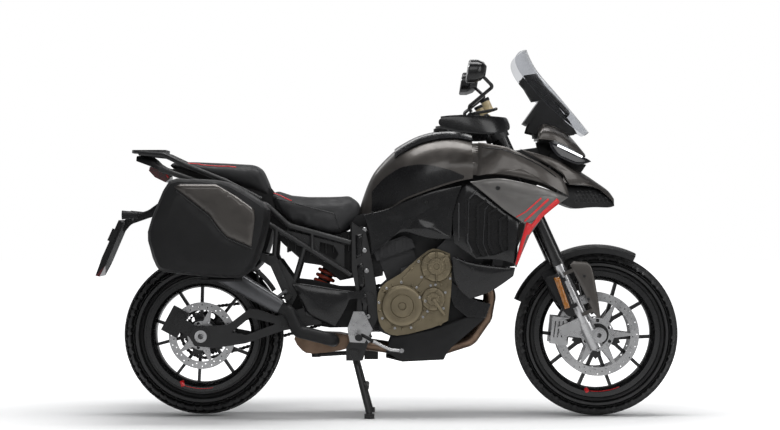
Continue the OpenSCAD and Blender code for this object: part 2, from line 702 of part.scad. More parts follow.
// A two-piston block that straddles a disc at y, before the wheel's axle is added
module caliper_block(angle, r_mid, gap, w_in, w_out, y) {
    rotate([0, -angle, 0]) translate([r_mid, y, 0]) difference() {
        union() {
            translate([-34, -w_out, -54]) cube([70, w_out + w_in, 108]);
            for (s = [-1, 1]) cross_bar(-8, s * 26, -w_out - 7, -w_out + 1, 20);
        }
        translate([-60, -gap, -60]) cube([81, 2 * gap, 120]);
    }
}
module rear_caliper() {
    color("#9a9b9c") translate(rear_axle_at) {
        caliper_block(152, 118, disc_t / 2 + 5.5, 18, 20, -rear_disc_y);
        difference() {
            rotate([0, -152, 0]) translate([-26, -arm_in + 0.3, -26]) cube([150, 8, 52]);
            cross_bar(0, 0, -arm_in - 5, -rear_disc_y, 22 + fit_gap);
        }
    }
}

module rear_hugger() {
    color("#1d1d1e") translate(rear_axle_at) rotate([90, 0, 0]) rotate([0, 0, 32])
        rotate_extrude(angle = 62) polygon([
            [rear_tyre_r + 8, 92], [rear_tyre_r + 14, 60], [rear_tyre_r + 16, 0], [rear_tyre_r + 14, -60],
            [rear_tyre_r + 8, -92],
            [rear_tyre_r + 12, -92], [rear_tyre_r + 18, -60], [rear_tyre_r + 20, 0], [rear_tyre_r + 18, 60],
            [rear_tyre_r + 12, 92]
        ]);
    color("#1d1d1e") both_sides() translate(rear_axle_at)
        bar([250, 136, 100], (rear_tyre_r + 15.5) * [cos(50), 0, sin(50)] + [0, 92, 0], 5);
}

// Tank, seats and tail
tank_rows = line_through([
    [-110, 800, 838, 72, 2.2], [-64, 806, 958, 110, 2.3], [8, 824, 1040, 152, 2.5],
    [60, 856, 1078, 180, 2.6],
    [130, 884, 1112, 197, 2.7], [210, 912, 1128, 206, 2.7], [276, 932, 1126, 208, 2.7],
    [332, 943, 1113, 201, 2.6]
], 3);
tank_steps = 20;
function tank_row(i) = let (r = tank_rows[i]) arch(r[0], r[1], r[2], r[3], r[4], tank_steps);
module fuel_tank() {
    color("#57524d") loft([for (i = [0:len(tank_rows) - 1]) tank_row(i)]);
}
// A cover that lies over the crown of the tank and follows its rows
module tank_cover() {
    lift = 7;
    skin = 3.2;
    first = 7;
    side = 6;
    recess_top = [[-64, 0.56], [-12, 0.64], [47, 0.61], [150, 0.47], [243, 0.26], [300, 0.08]];
    // A point of the tank's left flank at a share f of its height, lifted off it
    function flank(r, f, up) = let (
        s = pow(f, r[4] / 2),
        rise = f * (r[2] - r[1]),
        out = r[3] * pow(1 - s * s, 1 / r[4])
    ) [r[0], out, r[1] + rise] + up * unit([0, out, 0.6 * rise]);
    color("#1d1d1f") {
        loft([
            for (i = [first:len(tank_rows) - 1]) let (row = tank_row(i),
                hub = [row[0][0], 0, tank_rows[i][1]])
                concat(
                    [for (k = [side:tank_steps - side]) row[k] + lift * unit(row[k] - hub)],
                    [for (k = [tank_steps - side:-1:side]) row[k] + 0.4 * unit(row[k] - hub)]
                )
        ], true);
        both_sides() loft([
            for (r = tank_rows) if (r[0] > -66 && r[0] < 300) let (top = lookup(r[0], recess_top))
                concat(
                    [for (k = [0:5]) flank(r, 0.035 + (top - 0.035) * k / 5, skin)],
                    [for (k = [5:-1:0]) flank(r, 0.035 + (top - 0.035) * k / 5, 0.9)]
                )
        ], true);
        translate([222, 0, 1131]) difference() {
            cylinder(h = 13, r = 40);
            translate([0, 0, 9]) difference() {
                cylinder(h = 5, r = 34);
                cylinder(h = 5, r = 24);
            }
        }
    }
}

// The soft pads: rows of x, underside, top, half width and squareness
module pad(rows, steps) {
    loft([for (r = line_through(rows, 3)) arch(r[0], r[1], r[2], r[3], r[4], steps)]);
}
module rider_seat() {
    color("#3a3a3c") pad([
        [-468, 856.8, 905, 120, 3.4], [-440, 838.8, 896, 140, 3.2], [-385, 774.8, 876, 155, 3],
        [-280, 740.8, 871, 145, 2.8],
        [-200, 720.8, 872, 112, 2.6], [-150, 736.8, 876, 86, 2.4], [-124, 778.8, 858, 66, 2.2]
    ], 14);
}
module pillion_seat() {
    color("#3a3a3c") pad([
        [-872, 990, 1008, 96, 3], [-790, 975, 1009, 122, 3.2], [-640, 930, 1001, 132, 3.2],
        [-548, 900, 997, 128, 3.2],
        [-512, 890, 993, 120, 3], [-486, 895, 955, 110, 3], [-470, 908, 924, 100, 3]
    ], 14);
}
module tail_unit() {
    color("#262628") difference() {
        pad([
            [-1000, 1014, 1036, 62, 2.6], [-940, 992, 1034, 84, 2.8], [-880, 968, 988, 92, 3],
            [-760, 930, 966, 96, 3],
            [-620, 878, 920, 98, 3], [-500, 846, 880, 98, 3]
        ], 12);
        cross_bar(-895, 980, -130, 130, 9 + fit_gap);
    }
}

rack_z = 1046;
module luggage_rack() {
    plate = [[-1018, -50], [-1006, -82], [-900, -92], [-880, -80], [-880, 80], [-900, 92], [-1006, 82],
        [-1018, 50]];
    color("#2c2c2e") {
        translate([0, 0, rack_z]) linear_extrude(height = 12) difference() {
            polygon(plate);
            for (y = [-24, 0, 24]) translate([-980, y - 7]) square([70, 14]);
            for (x = [-1, 1], y = [-1, 1])
                translate([-946 + x * rack_hole_dx / 2, y * rack_hole_dy / 2]) circle(r = rack_hole_r);
        }
        both_sides() {
            pipe([[-985, 78, 1046], [-880, 126, 1036], [-800, 153, 998], [-640, 151, 934],
                [-500, 143, 862]], 11, 50);
            cross_bar(-512, 851, 129.6, 144, 8);
        }
        translate([-990, -40, 1038]) cube([50, 80, 9]);
    }
}
module tail_lamp() {
    color("#6d1015") difference() {
        side_plate([
            [-950, 976], [-946, 992.4], [-906, 977.4], [-868, 962.6], [-866, 944], [-885, 930], [-926, 950]
        ], -60, 60);
        cross_bar(-895, 980, -130, 130, 9 + fit_gap);
    }
}
module plate_holder() {
    color("#1c1c1d") {
        pipe([[-784, 0, 927.5], [-950, 0, 806], [-1036, 0, 776], [-1064, 0, 742]], 16, 40);
        side_plate([[-1066, 780], [-1046, 768], [-1118, 600], [-1142, 556], [-1158, 560], [-1132, 632]],
            -95, 95);
        both_sides() {
            bar([-1020, 0, 782], [-1012, -120, 800], 7);
            translate([-1012, -150, 800]) rotate([0, 90, 0]) translate([0, 0, -34]) cylinder(h = 62,
                r1 = 18, r2 = 12);
            bar([-1012, -110, 800], [-1012, -148, 800], 9);
        }
        translate([-1098, 0, 706]) rotate([0, -66, 0]) translate([0, 0, -3]) cylinder(h = 9, r = 28);
        both_sides() translate([-1110, -104, 700]) rotate([0, 24, 0]) cube([24, 10, 52]);
    }
}

// Side cases
case_edge = ring_through([
    [-834, 931], [-880, 842], [-917, 736], [-908, 672], [-885, 605], [-850, 582], [-720, 568], [-590, 560],
    [-540, 574], [-498, 632], [-466, 740], [-456, 820], [-500, 862], [-597, 919], [-660, 934], [-770, 938]
], 2);
case_hinge_z = 551;
module case_shell(rings) {
    edge = turned(case_edge);
    mid = mean(edge);
    loft([for (r = rings) [for (p = edge) let (q = mid + (p - mid) * r[0]) [q[0], -r[1], q[1]]]]);
}
module hinge_parts(spans, hole) {
    difference() {
        for (s = spans) translate([s[0], -case_split, case_hinge_z]) rotate([0, 90,
            0]) cylinder(h = s[1] - s[0], r = hinge_r);
        if (hole > 0) translate([-800, -case_split, case_hinge_z]) rotate([0, 90, 0]) cylinder(h = 400,
            r = hole);
    }
}
module case_base() {
    case_shell([
        [0.4, case_in], [0.96, case_in], [1, case_in + 18], [1, case_split - 0.4],
        [0.975, case_split - 0.4], [0.975, case_in + 20], [0.93, case_in + case_wall],
        [0.4, case_in + case_wall]
    ]);
    hinge_parts([[-690, -590]], 0);
    translate([-690, -case_split + 1, case_hinge_z + 2]) cube([100, 20, 22]);
    translate([-720, -case_split, case_hinge_z]) rotate([0, 90, 0]) cylinder(h = 160, r = hinge_pin_r);
}
module case_lid() {
    upper = edge_line([
        [-816, 910, 1], [-788, 922], [-652, 922], [-568, 872], [-504, 824, 1], [-500, 784], [-514, 680, 1],
        [-611, 720],
        [-640, 754], [-676, 804], [-796, 897, 1]
    ], 1);
    lower = edge_line([
        [-806, 888, 1], [-876, 740], [-845, 634], [-800, 610], [-645, 594], [-562, 594, 1], [-534, 622],
        [-516, 664, 1],
        [-611, 704], [-648, 736], [-684, 788]
    ], 1);
    case_shell([
        [0.4, case_out - 8], [0.8, case_out - 10], [0.92, case_out - 30], [0.975, case_out - 70],
        [0.975, case_split + 0.4],
        [1, case_split + 0.4], [1, case_out - 62], [0.975, case_out - 28], [0.93, case_out - 9],
        [0.86, case_out - 5], [0.5, case_out - 4]
    ]);
    side_panel(upper, [case_out - 11, -640, 820, 0, 0, 0], 8, [[0.97, 6], [0.9, 9], [0.6, 11]]);
    side_panel(lower, [case_out - 8, -700, 720, 0, 0, 0], 8, [[0.98, 3], [0.93, 5], [0.6, 7]]);
    for (s = [[-720, -691], [-589, -560]]) {
        hinge_parts([s], hinge_pin_r + run_gap);
        translate([s[0], -case_split - 9, case_hinge_z + 4]) cube([s[1] - s[0], 8, 24]);
    }
}
module case_right() { color("#1b1b1d") case_base(); }
module case_left() { color("#1b1b1d") mirror([0, 1, 0]) case_base(); }
module case_lid_right() { color("#1b1b1d") case_lid(); }
module case_lid_left() { color("#1b1b1d") mirror([0, 1, 0]) case_lid(); }

// Fairing and side panels, drawn for the right side and mirrored
soft_crown = [[0.96, 3], [0.8, 7], [0.4, 10]];
module upper_fairing() {
    shoulder = edge_line([
        [348, 953, 1], [382, 957], [466, 954], [574, 933], [646, 909], [712, 873, 1], [700, 915],
        [676, 955],
        [600, 1003], [485, 1060], [452, 1070], [400, 1079], [354, 1085, 1]
    ], 2);
    color("#57524d") {
        both_sides() {
            side_panel(shoulder, [204, 440, 980, -0.04, -0.25, 7], 6, soft_crown);
            bar([332.4, -190, 1000], [374, -190, 1000], 7);
        }
        pad([
            [592, 1098, 1128, 140, 3], [612, 1098, 1164, 142, 3], [660, 1092, 1156, 132, 2.8],
            [716, 1068, 1124, 108, 2.6],
            [764, 1042, 1070, 74, 2.4], [786, 1030, 1044, 48, 2.2]
        ], 16);
    }
}
module wing_panels() {
    wing = edge_line([
        [320, 929, 1], [405, 942], [477, 938], [600, 909], [709, 870, 1], [650, 829], [602, 790, 1],
        [534, 766, 1],
        [459, 816], [392, 871]
    ], 2);
    fang = edge_line([
        [534.3, 765.2, 1], [602.4, 789.2, 1], [566, 748], [530, 668], [501, 594, 1], [493, 602, 1], [514, 690]
    ], 2);
    lay = [236, 450, 870, 0, 0.04, 12];
    color("#77746f") both_sides() {
        side_panel(wing, lay, 6, soft_crown);
        side_panel(fang, lay, 6, [[0.9, 3], [0.6, 5]]);
        cross_bar(462, 842, -212.3, -232, 8);
    }
}
module vent_panels() {
    vent = edge_line([
        [320, 918, 1], [420, 842], [510, 778, 1], [506, 690], [498, 608, 1], [437, 626], [345, 628, 1],
        [260, 690, 1],
        [254, 796], [290, 906]
    ], 2);
    window = [[304, 856], [344, 880], [468, 790], [468, 664], [418, 642], [356, 640], [304, 700]];
    blades = [
        [[340, 890], [306, 858], [306, 702], [350, 634]],
        [[384, 858], [350, 834], [350, 684], [374, 640]],
        [[426, 826], [394, 806], [394, 690], [412, 650]],
        [[466, 798], [438, 782], [438, 694], [450, 656]]
    ];
    color("#1c1c1e") both_sides() {
        difference() {
            union() {
                side_panel(vent, [214, 400, 760, 0.03, 0.03, 3], 8, soft_crown);
                side_plate([for (p = window) mean(window) + 1.05 * (p - mean(window))], -194, -214);
                cross_bar(448, 700, -176.3, -198, 10);
                side_plate([[428, 806], [478, 780], [486, 852], [440, 860]], -206, -212);
            }
            side_plate(window, -199, -250);
        }
        for (line = blades) side_plate(strip(line, 9), -198, -227);
    }
}
beak_rows = [
    [690, 930, 1010, 138, 2.2], [738, 921, 992, 118, 2], [790, 917, 960, 92, 1.9], [834, 904, 930, 68, 1.8],
    [880, 870, 897, 38, 1.8], [904, 845, 864, 14, 2]
];
jaw_floor = [[690, 846], [738, 826], [764, 820], [798, 832], [880, 830], [904, 836]];
module beak() {
    blade = edge_line([
        [514, 1060, 1], [590, 1041], [661, 1019], [704, 994], [770, 956], [800, 930, 1], [760, 923],
        [716, 919, 1],
        [684, 964], [604, 1011]
    ], 2);
    color("#57524d") {
        pad(beak_rows, 16);
        both_sides() side_panel(blade, [166, 600, 1010, -0.30, -0.12, 9], 6,
            [[0.95, 3], [0.7, 6], [0.4, 7]]);
    }
}
module inner_cowl() {
    color("#18181a") {
        side_plate([[641, 970], [641, 1054], [668, 1040], [689.5, 1008], [689.5, 900], [660, 930]], -60,
            60);
        pad([for (r = beak_rows) [r[0] == 690 ? 684 : r[0], lookup(r[0], jaw_floor), r[1] - 1, r[3] - 6,
            4]], 16);
        both_sides() {
            side_plate([[641, 1000], [641, 1040], [668, 1040], [689.5, 1008], [689.5, 940]], 60, 113);
            bar([652, 102, 1000], [621.5, 166, 951.5], 8);
        }
        side_plate([[600, 1071], [600, 1097.5], [640, 1094.8], [650, 1092.4], [690, 1066], [668, 1043],
            [641, 1057]], -46, 46);
    }
}
module headlamps() {
    lamp = ring_through([[634, 1088], [700, 1064], [770, 1032], [806, 1012], [752, 998], [700, 1016],
        [655, 1040]], 2);
    color("#cfd3d6") both_sides()
        side_panel(lamp, [116, 720, 1040, -0.5, -0.2, 0], 26, [[0.96, 3], [0.8, 6], [0.4, 8]]);
}
screen_rows = line_through([
    [803, 1129, 70, 22, 14], [743, 1203, 138, 62, 18], [670, 1290, 182, 84, 14], [600, 1369, 184, 84, 6],
    [568, 1425, 162, 66, 6], [554, 1459, 104, 26, 10]
], 2);
module windscreen() {
    steps = 14;
    thick = 4;
    function edge(r,
        back) = [for (k = [0:steps]) let (u = 2 * k / steps - 1) [r[0] - r[3] * u * u - back, r[2] * u,
            r[1] - r[4] * u * u]];
    color("#9fb0b8") loft([
        for (r = screen_rows) let (front = edge(r, 0), rear = edge(r, thick))
            concat(front, [for (k = [steps:-1:0]) rear[k]])
    ], true);
}
module instrument() {
    color("#141416") {
        side_plate([[538, 1166], [554, 1157], [616, 1245], [602, 1256]], -86, 86);
        side_plate([[572, 1188], [580, 1106], [591.6, 1106], [591.6, 1214]], -58, 58);
        both_sides() pipe([[640, 52, 1167], [725.2, 47, 1200.7], [585.2, 44, 1349.7], [528, 20, 1332]], 6, 12);
        side_plate([[530, 1326], [546, 1350], [590, 1358], [612, 1336], [640, 1292], [664, 1262],
            [650, 1240], [612, 1258], [574, 1252]], -40, 40);
        for (y = [-32:16:32]) side_plate([[524, 1326], [542, 1356], [592, 1364], [600, 1350], [580, 1262]],
            y - 3, y + 3);
    }
}
module lower_cowl() {
    cowl = edge_line([
        [252, 640, 1], [344, 611], [499, 594, 1], [491, 560, 1], [403, 499], [323, 471, 1], [265, 526]
    ], 2);
    color("#1e1e20") both_sides() {
        side_panel(cowl, [190, 380, 560, 0, 0.12, 3], 6, soft_crown);
        cross_bar(330, 560, -146.3, -188, 9);
    }
}
module frame_covers() {
    cover = edge_line([
        [-96, 800.4, 1], [0, 822.6], [60, 852.6], [180, 896.6], [290, 916.5, 1], [262, 800], [246, 708, 1],
        [150, 708],
        [56, 738], [-20, 678], [-64, 642, 1], [-72, 724]
    ], 2);
    facet = [[62, 744, 1], [110, 790, 1], [186, 770, 1], [240, 716, 1], [150, 714, 1]];
    heel = edge_line([
        [-377, 529, 1], [-345, 534], [-150, 499, 1], [-157, 447], [-208, 362, 1], [-227, 368], [-322, 408],
        [-330, 443]
    ], 1);
    lay = [184, 150, 790, 0.10, 0.04, 2];
    color("#1c1c1e") both_sides() {
        side_panel(cover, lay, 6, [[0.97, 2], [0.85, 4], [0.6, 5]]);
        side_panel(edge_line(facet, 1), lay + [3, 0, 0, 0, 0, 0], 4, [[0.5, 7], [0.1, 10]]);
        side_panel(heel, [168, -260, 450, 0, 0, 1], 4, [[0.95, 3], [0.7, 8], [0.4, 10]]);
        side_plate([[-190, 500], [-92, 500], [-92, 474], [-190, 466]], -142.3, -167);
    }
}
module belly_pan() {
    side = edge_line([
        [14, 325, 1], [52, 335.7, 1], [170, 351.7, 1], [291, 393, 1], [388, 430, 1], [384, 395], [252, 280],
        [219, 230, 1],
        [57, 222, 1], [-8, 262, 1]
    ], 2);
    color("#1f1f21") {
        both_sides() side_panel(side, [139, 170, 300, 0, 0, 0], 5, [[0.96, 2], [0.8, 5], [0.5, 8]]);
        side_plate([[224, 237], [219, 230], [57, 222], [-8, 238], [-8, 244], [59, 228], [216, 236]], -136,
            136);
    }
}
module foot_controls() {
    color("#8e9092") {
        both_sides() {
            side_plate([[-135, 420], [-95, 420], [-60, 350], [-92, 296], [-150, 300], [-160, 352]],
                plate_out, plate_out + 12);
            bar([-112, -plate_out - 10, 316], [-116, -plate_out - 96, 322], 13);
            side_plate([[-480, 640], [-440, 640], [-372, 470], [-400, 462]], 152, 162);
            bar([-386, -160, 476], [-390, -238, 480], 11);
            side_plate(strip([[-150, 380], [-120, 366], [-90, 340], [-70, 300]], 16), plate_out + 11,
                plate_out + 19);
        }
        pipe([[-104, -158, 330], [-60, -176, 306], [10, -186, 272], [54, -188, 268]], 7, 30);
        bar([50, -178, 268], [54, -214, 270], 9);
        bar([-104, -150, 330], [-104, -162, 330], 14);
        pipe([[-104, 158, 330], [-40, 172, 330], [70, 178, 334]], 7, 30);
        bar([68, 172, 334], [70, 214, 334], 9);
        bar([-104, 150, 330], [-104, 162, 330], 14);
    }
}

// Steering assembly
fork_top = 1244;
module fork_clamps() {
    module clamp(z, h) {
        translate([0, 0, z]) linear_extrude(height = h) difference() {
            union() {
                circle(r = 40);
                for (s = [-1, 1]) translate([clamp_offset, s * fork_half]) circle(r = fork_outer_r + 8);
                polygon([[-34, -20], [-20, -fork_half], [clamp_offset + 26, -fork_half],
                    [clamp_offset + 34, 0], [clamp_offset + 26, fork_half], [-20, fork_half], [-34, 20]]);
            }
            for (s = [-1, 1]) translate([clamp_offset, s * fork_half]) circle(r = fork_outer_r + run_gap);
        }
    }
    color("#2b2c2e") steered() {
        clamp(lower_clamp_z, 46);
        clamp(upper_clamp_z, 26);
        translate([0, 0, lower_clamp_z + 10]) cylinder(h = upper_clamp_z - lower_clamp_z, r = 16);
        for (s = [-1, 1]) translate([0, s * 46, upper_clamp_z + 20]) difference() {
            translate([-18, -16, 0]) cube([36, 32, bar_z - upper_clamp_z - 3]);
            translate([0, 0, bar_z - upper_clamp_z - 20]) rotate([90, 0, 0]) cylinder(h = 60,
                r = bar_r + 4 + run_gap, center = true);
        }
    }
}
slider_top = axle_up + 350;
module fork_tubes() {
    color("#3c3d40") steered() both_sides() {
        translate([clamp_offset, -fork_half, slider_top - 20]) cylinder(h = fork_top - slider_top + 20,
            r = fork_outer_r);
        translate([clamp_offset, -fork_half, slider_top - 32]) difference() {
            cylinder(h = 22, r = fork_outer_r + 4);
            translate([0, 0, -1]) cylinder(h = 12, r = fork_slider_r + run_gap);
        }
    }
}
module fork_sliders() {
    color("#9b9da0") steered() both_sides() difference() {
        union() {
            translate([clamp_offset, -fork_half, axle_up - 30]) cylinder(h = slider_top - axle_up + 9,
                r = fork_slider_r);
            translate([clamp_offset, -fork_half, axle_up - 44]) cylinder(h = 110, r = fork_slider_r + 6);
            translate([clamp_offset - 20, -fork_half - 20,
                axle_up - 30]) cube([axle_ahead - clamp_offset + 20, 40, 60]);
            translate([axle_ahead, 0, axle_up]) cross_bar(0, 0, -fork_half - 30, -fork_half + 30, 30);
            translate([clamp_offset - 105, -fork_half - 12, axle_up + 45]) cube([105, 20.4, 50]);
        }
        translate([axle_ahead, 0, axle_up]) cross_bar(0, 0, -fork_half - 60, -fork_half + 60,
            front_axle_r + run_gap);
    }
}
module front_axle() {
    color("#a6a8aa") translate(front_axle_at) difference() {
        union() {
            cross_bar(0, 0, -fork_half - 34, fork_half + 34, front_axle_r);
            both_sides() cross_bar(0, 0, -fork_half + 30, -hub_half_front - 1, 19);
            both_sides() cross_bar(0, 0, -fork_half - 30, -fork_half - 38, 21);
        }
        cross_bar(0, 0, -fork_half - 40, fork_half + 40, front_axle_bore);
    }
}
module front_calipers() {
    color("#a0a2a4") both_sides() translate(front_axle_at)
        caliper_block(174, 150, disc_t / 2 + 5.5, 20, 24, -front_disc_y);
}
module front_fender() {
    r = front_tyre_r + 12;
    half = front_tyre_w / 2 + 9;
    color("#1f1f21") {
        translate(front_axle_at) rotate([90, 0, 0]) rotate([0, 0, 64]) rotate_extrude(angle = 93) polygon([
            [r - 16, half], [r + 6, half - 4], [r + 15, half * 0.6], [r + 19, 0], [r + 15, -half * 0.6],
            [r + 6, -half + 4], [r - 16, -half],
            [r - 16, -half + 4], [r + 4, -half + 8], [r + 11, -half * 0.6], [r + 15, 0],
            [r + 11, half * 0.6], [r + 4, half - 8], [r - 16, half - 4]
        ]);
        steered() both_sides() translate([clamp_offset, 0, axle_up + front_tyre_r - 134]) difference() {
            translate([-75, -fork_half + fork_slider_r - 2, 0]) cube([105, 19, 120]);
            translate([0, -fork_half, -1]) cylinder(h = 160, r = fork_slider_r + 0.2);
        }
    }
}
module leg_tab(ahead, length, up) {
    steered() difference() {
        translate([ahead < 0 ? clamp_offset - length : clamp_offset, -fork_half - 42,
            axle_up + up]) cube([length, 30, 14]);
        translate([clamp_offset, -fork_half, axle_up]) cylinder(h = 420, r = fork_slider_r + 0.2);
    }
}
module fork_guards() {
    guard = ring_through([[716, 606], [760, 616], [800, 604], [822, 500], [836, 402], [812, 410],
        [770, 500]], 2);
    leg = ring_through([[618, 548], [650, 562], [680, 560], [736, 412], [704, 404], [660, 470]], 2);
    color("#57524d") both_sides() {
        side_panel(guard, [146, 770, 500, -0.02, 0, 4], 4, [[0.95, 3], [0.7, 6], [0.4, 7]]);
        leg_tab(1, 64, 95);
        leg_tab(1, 62, 270);
        side_panel(leg, [142, 680, 480, 0, 0, 4], 4, [[0.95, 3], [0.7, 5]]);
        leg_tab(-1, 50, 140);
        leg_tab(-1, 60, 250);
    }
}
grip_a = [-92, 338, bar_z + 56];
grip_b = [-177, bar_half, bar_z + 73];
grip_along = unit(grip_b - grip_a);
bar_knee = [0, 100, bar_z];
bar_rise = [-8, 200, bar_z + 36];
perch_a = bar_rise + 0.28 * (grip_a - bar_rise);
perch_b = bar_rise + 0.74 * (grip_a - bar_rise);
module handlebar() {
    color("#1b1b1c") steered() {
        cross_bar(0, bar_z, -84, 84, bar_r + 4);
        both_sides() {
            pipe([[0, 0, bar_z], bar_knee, bar_rise, grip_a, grip_b], bar_r, 45);
            bar(grip_b - 0.3 * grip_along, grip_b + 16 * grip_along, grip_r - 1);
        }
    }
}
module bar_controls() {
    cup = [6, 290, bar_z + 44];
    color("#222224") steered() both_sides() {
        difference() {
            bar(grip_a + 26 * grip_along, grip_b - 0.5 * grip_along, grip_r);
            bar(grip_a, grip_b + 5 * grip_along, bar_r + 0.2);
        }
        difference() {
            union() {
                bar(perch_a, perch_b, 19);
                translate(perch_b + [-14, -34, -26]) cube([40, 30, 40]);
                bar(perch_a + [0, 30, 6], cup + [0, 0, 6], 9);
            }
            bar(bar_rise, grip_a, bar_r + 0.2);
        }
        translate(cup) {
            cylinder(h = 40, r = 17);
            translate([0, 0, 40]) cylinder(h = 12, r = 19);
        }
        pipe([perch_a + [16, 26, 4], [36, 300, bar_z + 40], [16, 356, bar_z + 40], [-60, 444, bar_z + 56]],
            6, 20);
    }
}
module hand_guards() {
    color("#202022") steered() both_sides() {
        path = line_through([[-192, bar_half + 26.8, bar_z + 78], [-120, bar_half + 22, bar_z + 40],
            [-20, 432, bar_z - 10], [40, 372, bar_z - 30], [52, 300, bar_z - 20]], 2);
        m = len(path);
        loft([for (j = [0:m - 1]) let (
                t = unit(path[min(j + 1, m - 1)] - path[max(j - 1, 0)]), u = unit(cross(t, [0, 0, 1])),
                v = cross(u, t),
                h = 14 + 22 * sin(180 * min(1, 0.12 + j / m)))
            [for (k = [0:11]) path[j] + u * 4 * cos(30 * k) + v * h * sin(30 * k)]]);
    }
}
module mirrors() {
    foot = bar_rise + 0.62 * (grip_a - bar_rise);
    head = [18, 412, bar_z + 199];
    // A rounded section of the head, d ahead of its middle, leaning with its glass
    function face(d, w, h) = [
        for (a = [0:15:345])
            let (y = w * sign(cos(a)) * pow(abs(cos(a)), 0.7), z = h * sign(sin(a)) * pow(abs(sin(a)), 0.7))
                [d + 0.16 * z, y, z - 0.06 * y]
    ];
    color("#1a1a1b") steered() both_sides() {
        pipe([foot + [0, 0, 20.6], foot + [0, 0, 44], [52, 372, bar_z + 122], [34, 392, bar_z + 168]], 7,
            14);
        translate(head) rotate([0, rake, 0])
            loft([face(-36, 68, 40), face(-32, 74, 45), face(-4, 74, 45), face(20, 60, 36),
                face(34, 34, 20)]);
    }
}

// Stands
module centre_stand() {
    foot = [stand_pivot[0] + stand_feet_ahead, -stand_feet_half, 0];
    color("#242426") {
        cross_bar(stand_pivot[0], stand_pivot[2], -plate_out - 6, plate_out + 6, stand_tube_r - run_gap);
        both_sides() {
            bar([stand_pivot[0], -80, stand_pivot[2]], foot + [0, 0, 16], 12);
            translate(foot) cylinder(h = 18, r = 20);
        }
        translate([stand_pivot[0] + 50, 0, 0]) cross_bar(0, 118, -118, 118, 10);
    }
}
module side_stand() {
    a = side_stand_at;
    b = a + [-side_stand_len, 0, -14];
    color("#242426") {
        bar(a - 38 * side_stand_axis, a, 6);
        bar(a - 9 * side_stand_axis, a + 9 * side_stand_axis, 15);
        bar(a, b, 9);
        translate(b + [0, 0, -9]) cylinder(h = 18, r = 18);
    }
}

main_frame();
subframe();
engine();
engine_covers();
radiator();
exhaust();
silencer();
swingarm();
rear_shock();
chain();
rear_axle();
rear_caliper();
rear_hugger();
fuel_tank();
tank_cover();
frame_covers();
rider_seat();
pillion_seat();
tail_unit();
luggage_rack();
tail_lamp();
plate_holder();
case_right();
case_left();
upper_fairing();
wing_panels();
vent_panels();
beak();
inner_cowl();
headlamps();
windscreen();
instrument();
lower_cowl();
belly_pan();
foot_controls();
fork_clamps();
fork_tubes();
fork_sliders();
front_fender();
fork_guards();
front_calipers();
handlebar();
bar_controls();
hand_guards();
mirrors();
front_axle();
front_rim();
front_tyre();
front_discs();
rear_rim();
rear_tyre();
rear_disc();
rear_sprocket();
centre_stand();
side_stand();
case_lid_right();
case_lid_left();
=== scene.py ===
# %% [markdown]
# An adventure motorcycle with side cases, seen square from its right side.
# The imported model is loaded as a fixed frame: its nodes keep their shapes and places. This lesson gives them
# their finishes and soft parts, and adds the small things of the real one: tread, bolts, stripes and seams.

# %% Load the frame
import json
import math

import bmesh
import bpy
import numpy as np
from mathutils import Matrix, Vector
from mathutils.bvhtree import BVHTree
from mathutils.geometry import delaunay_2d_cdt


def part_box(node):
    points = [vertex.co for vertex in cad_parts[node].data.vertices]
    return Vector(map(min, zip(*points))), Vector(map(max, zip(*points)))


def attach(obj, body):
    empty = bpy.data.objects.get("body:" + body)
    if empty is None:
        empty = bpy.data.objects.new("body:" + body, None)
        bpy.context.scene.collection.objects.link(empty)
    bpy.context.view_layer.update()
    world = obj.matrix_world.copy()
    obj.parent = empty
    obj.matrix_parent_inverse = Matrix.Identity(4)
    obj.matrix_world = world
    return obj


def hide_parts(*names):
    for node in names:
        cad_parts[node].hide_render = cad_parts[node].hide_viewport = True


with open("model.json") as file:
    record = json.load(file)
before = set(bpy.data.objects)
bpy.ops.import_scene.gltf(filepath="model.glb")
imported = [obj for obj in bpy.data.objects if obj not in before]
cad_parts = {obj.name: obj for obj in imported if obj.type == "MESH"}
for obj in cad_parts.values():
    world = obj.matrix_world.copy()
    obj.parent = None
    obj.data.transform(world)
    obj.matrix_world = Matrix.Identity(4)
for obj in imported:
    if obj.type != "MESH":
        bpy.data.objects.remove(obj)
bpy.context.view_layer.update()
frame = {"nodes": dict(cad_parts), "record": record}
nodes = frame["nodes"]
MM = 0.001

# %% [markdown]
# The photograph is a plain side view from far away, so the camera stands nine metres off at a low eye height.
# A long lens on a full-frame sensor gives that flat view. The picture is 780 wide and 430 high.

# %% Camera
CAMERA_AT = (0.008, -9.0, 0.80)
LENS = 103.85
camera_data = bpy.data.cameras.new("side_camera")
camera_data.lens = LENS
camera = bpy.data.objects.new("side_camera", camera_data)
camera.location = CAMERA_AT
camera.rotation_euler = (math.radians(90), 0, 0)
bpy.context.scene.collection.objects.link(camera)
bpy.context.scene.camera = camera
print("camera", CAMERA_AT, LENS, "mm")

# %% [markdown]
# A studio cut-out has a white ground with only the shadow left on it. The floor is a white plane that takes the
# shadow near the object. Further out it fades into white light of its own, which only the camera sees, straight
# or through glass, so no horizon shows.

# %% Floor
FLOOR_WHITE, FLOOR_HALF, FLOOR_DROP = 0.86, 30, 0.0015
FADE_FROM, FADE_TO, FADE_LONG = 0.65, 2.6, 0.6
bpy.context.scene.view_settings.view_transform = "Standard"


def link(tree, a, out, b, into):
    tree.links.new(a.outputs[out], b.inputs[into])


def math_node(tree, kind, a, b):
    node = tree.nodes.new("ShaderNodeMath")
    node.operation = kind
    for i, (other, out) in enumerate((a, b)):
        link(tree, other, out, node, i)
    return node


def seen_directly(tree):
    path = tree.nodes.new("ShaderNodeLightPath")
    return path, math_node(tree, "MAXIMUM", (path, "Is Camera Ray"), (path, "Is Transmission Ray"))


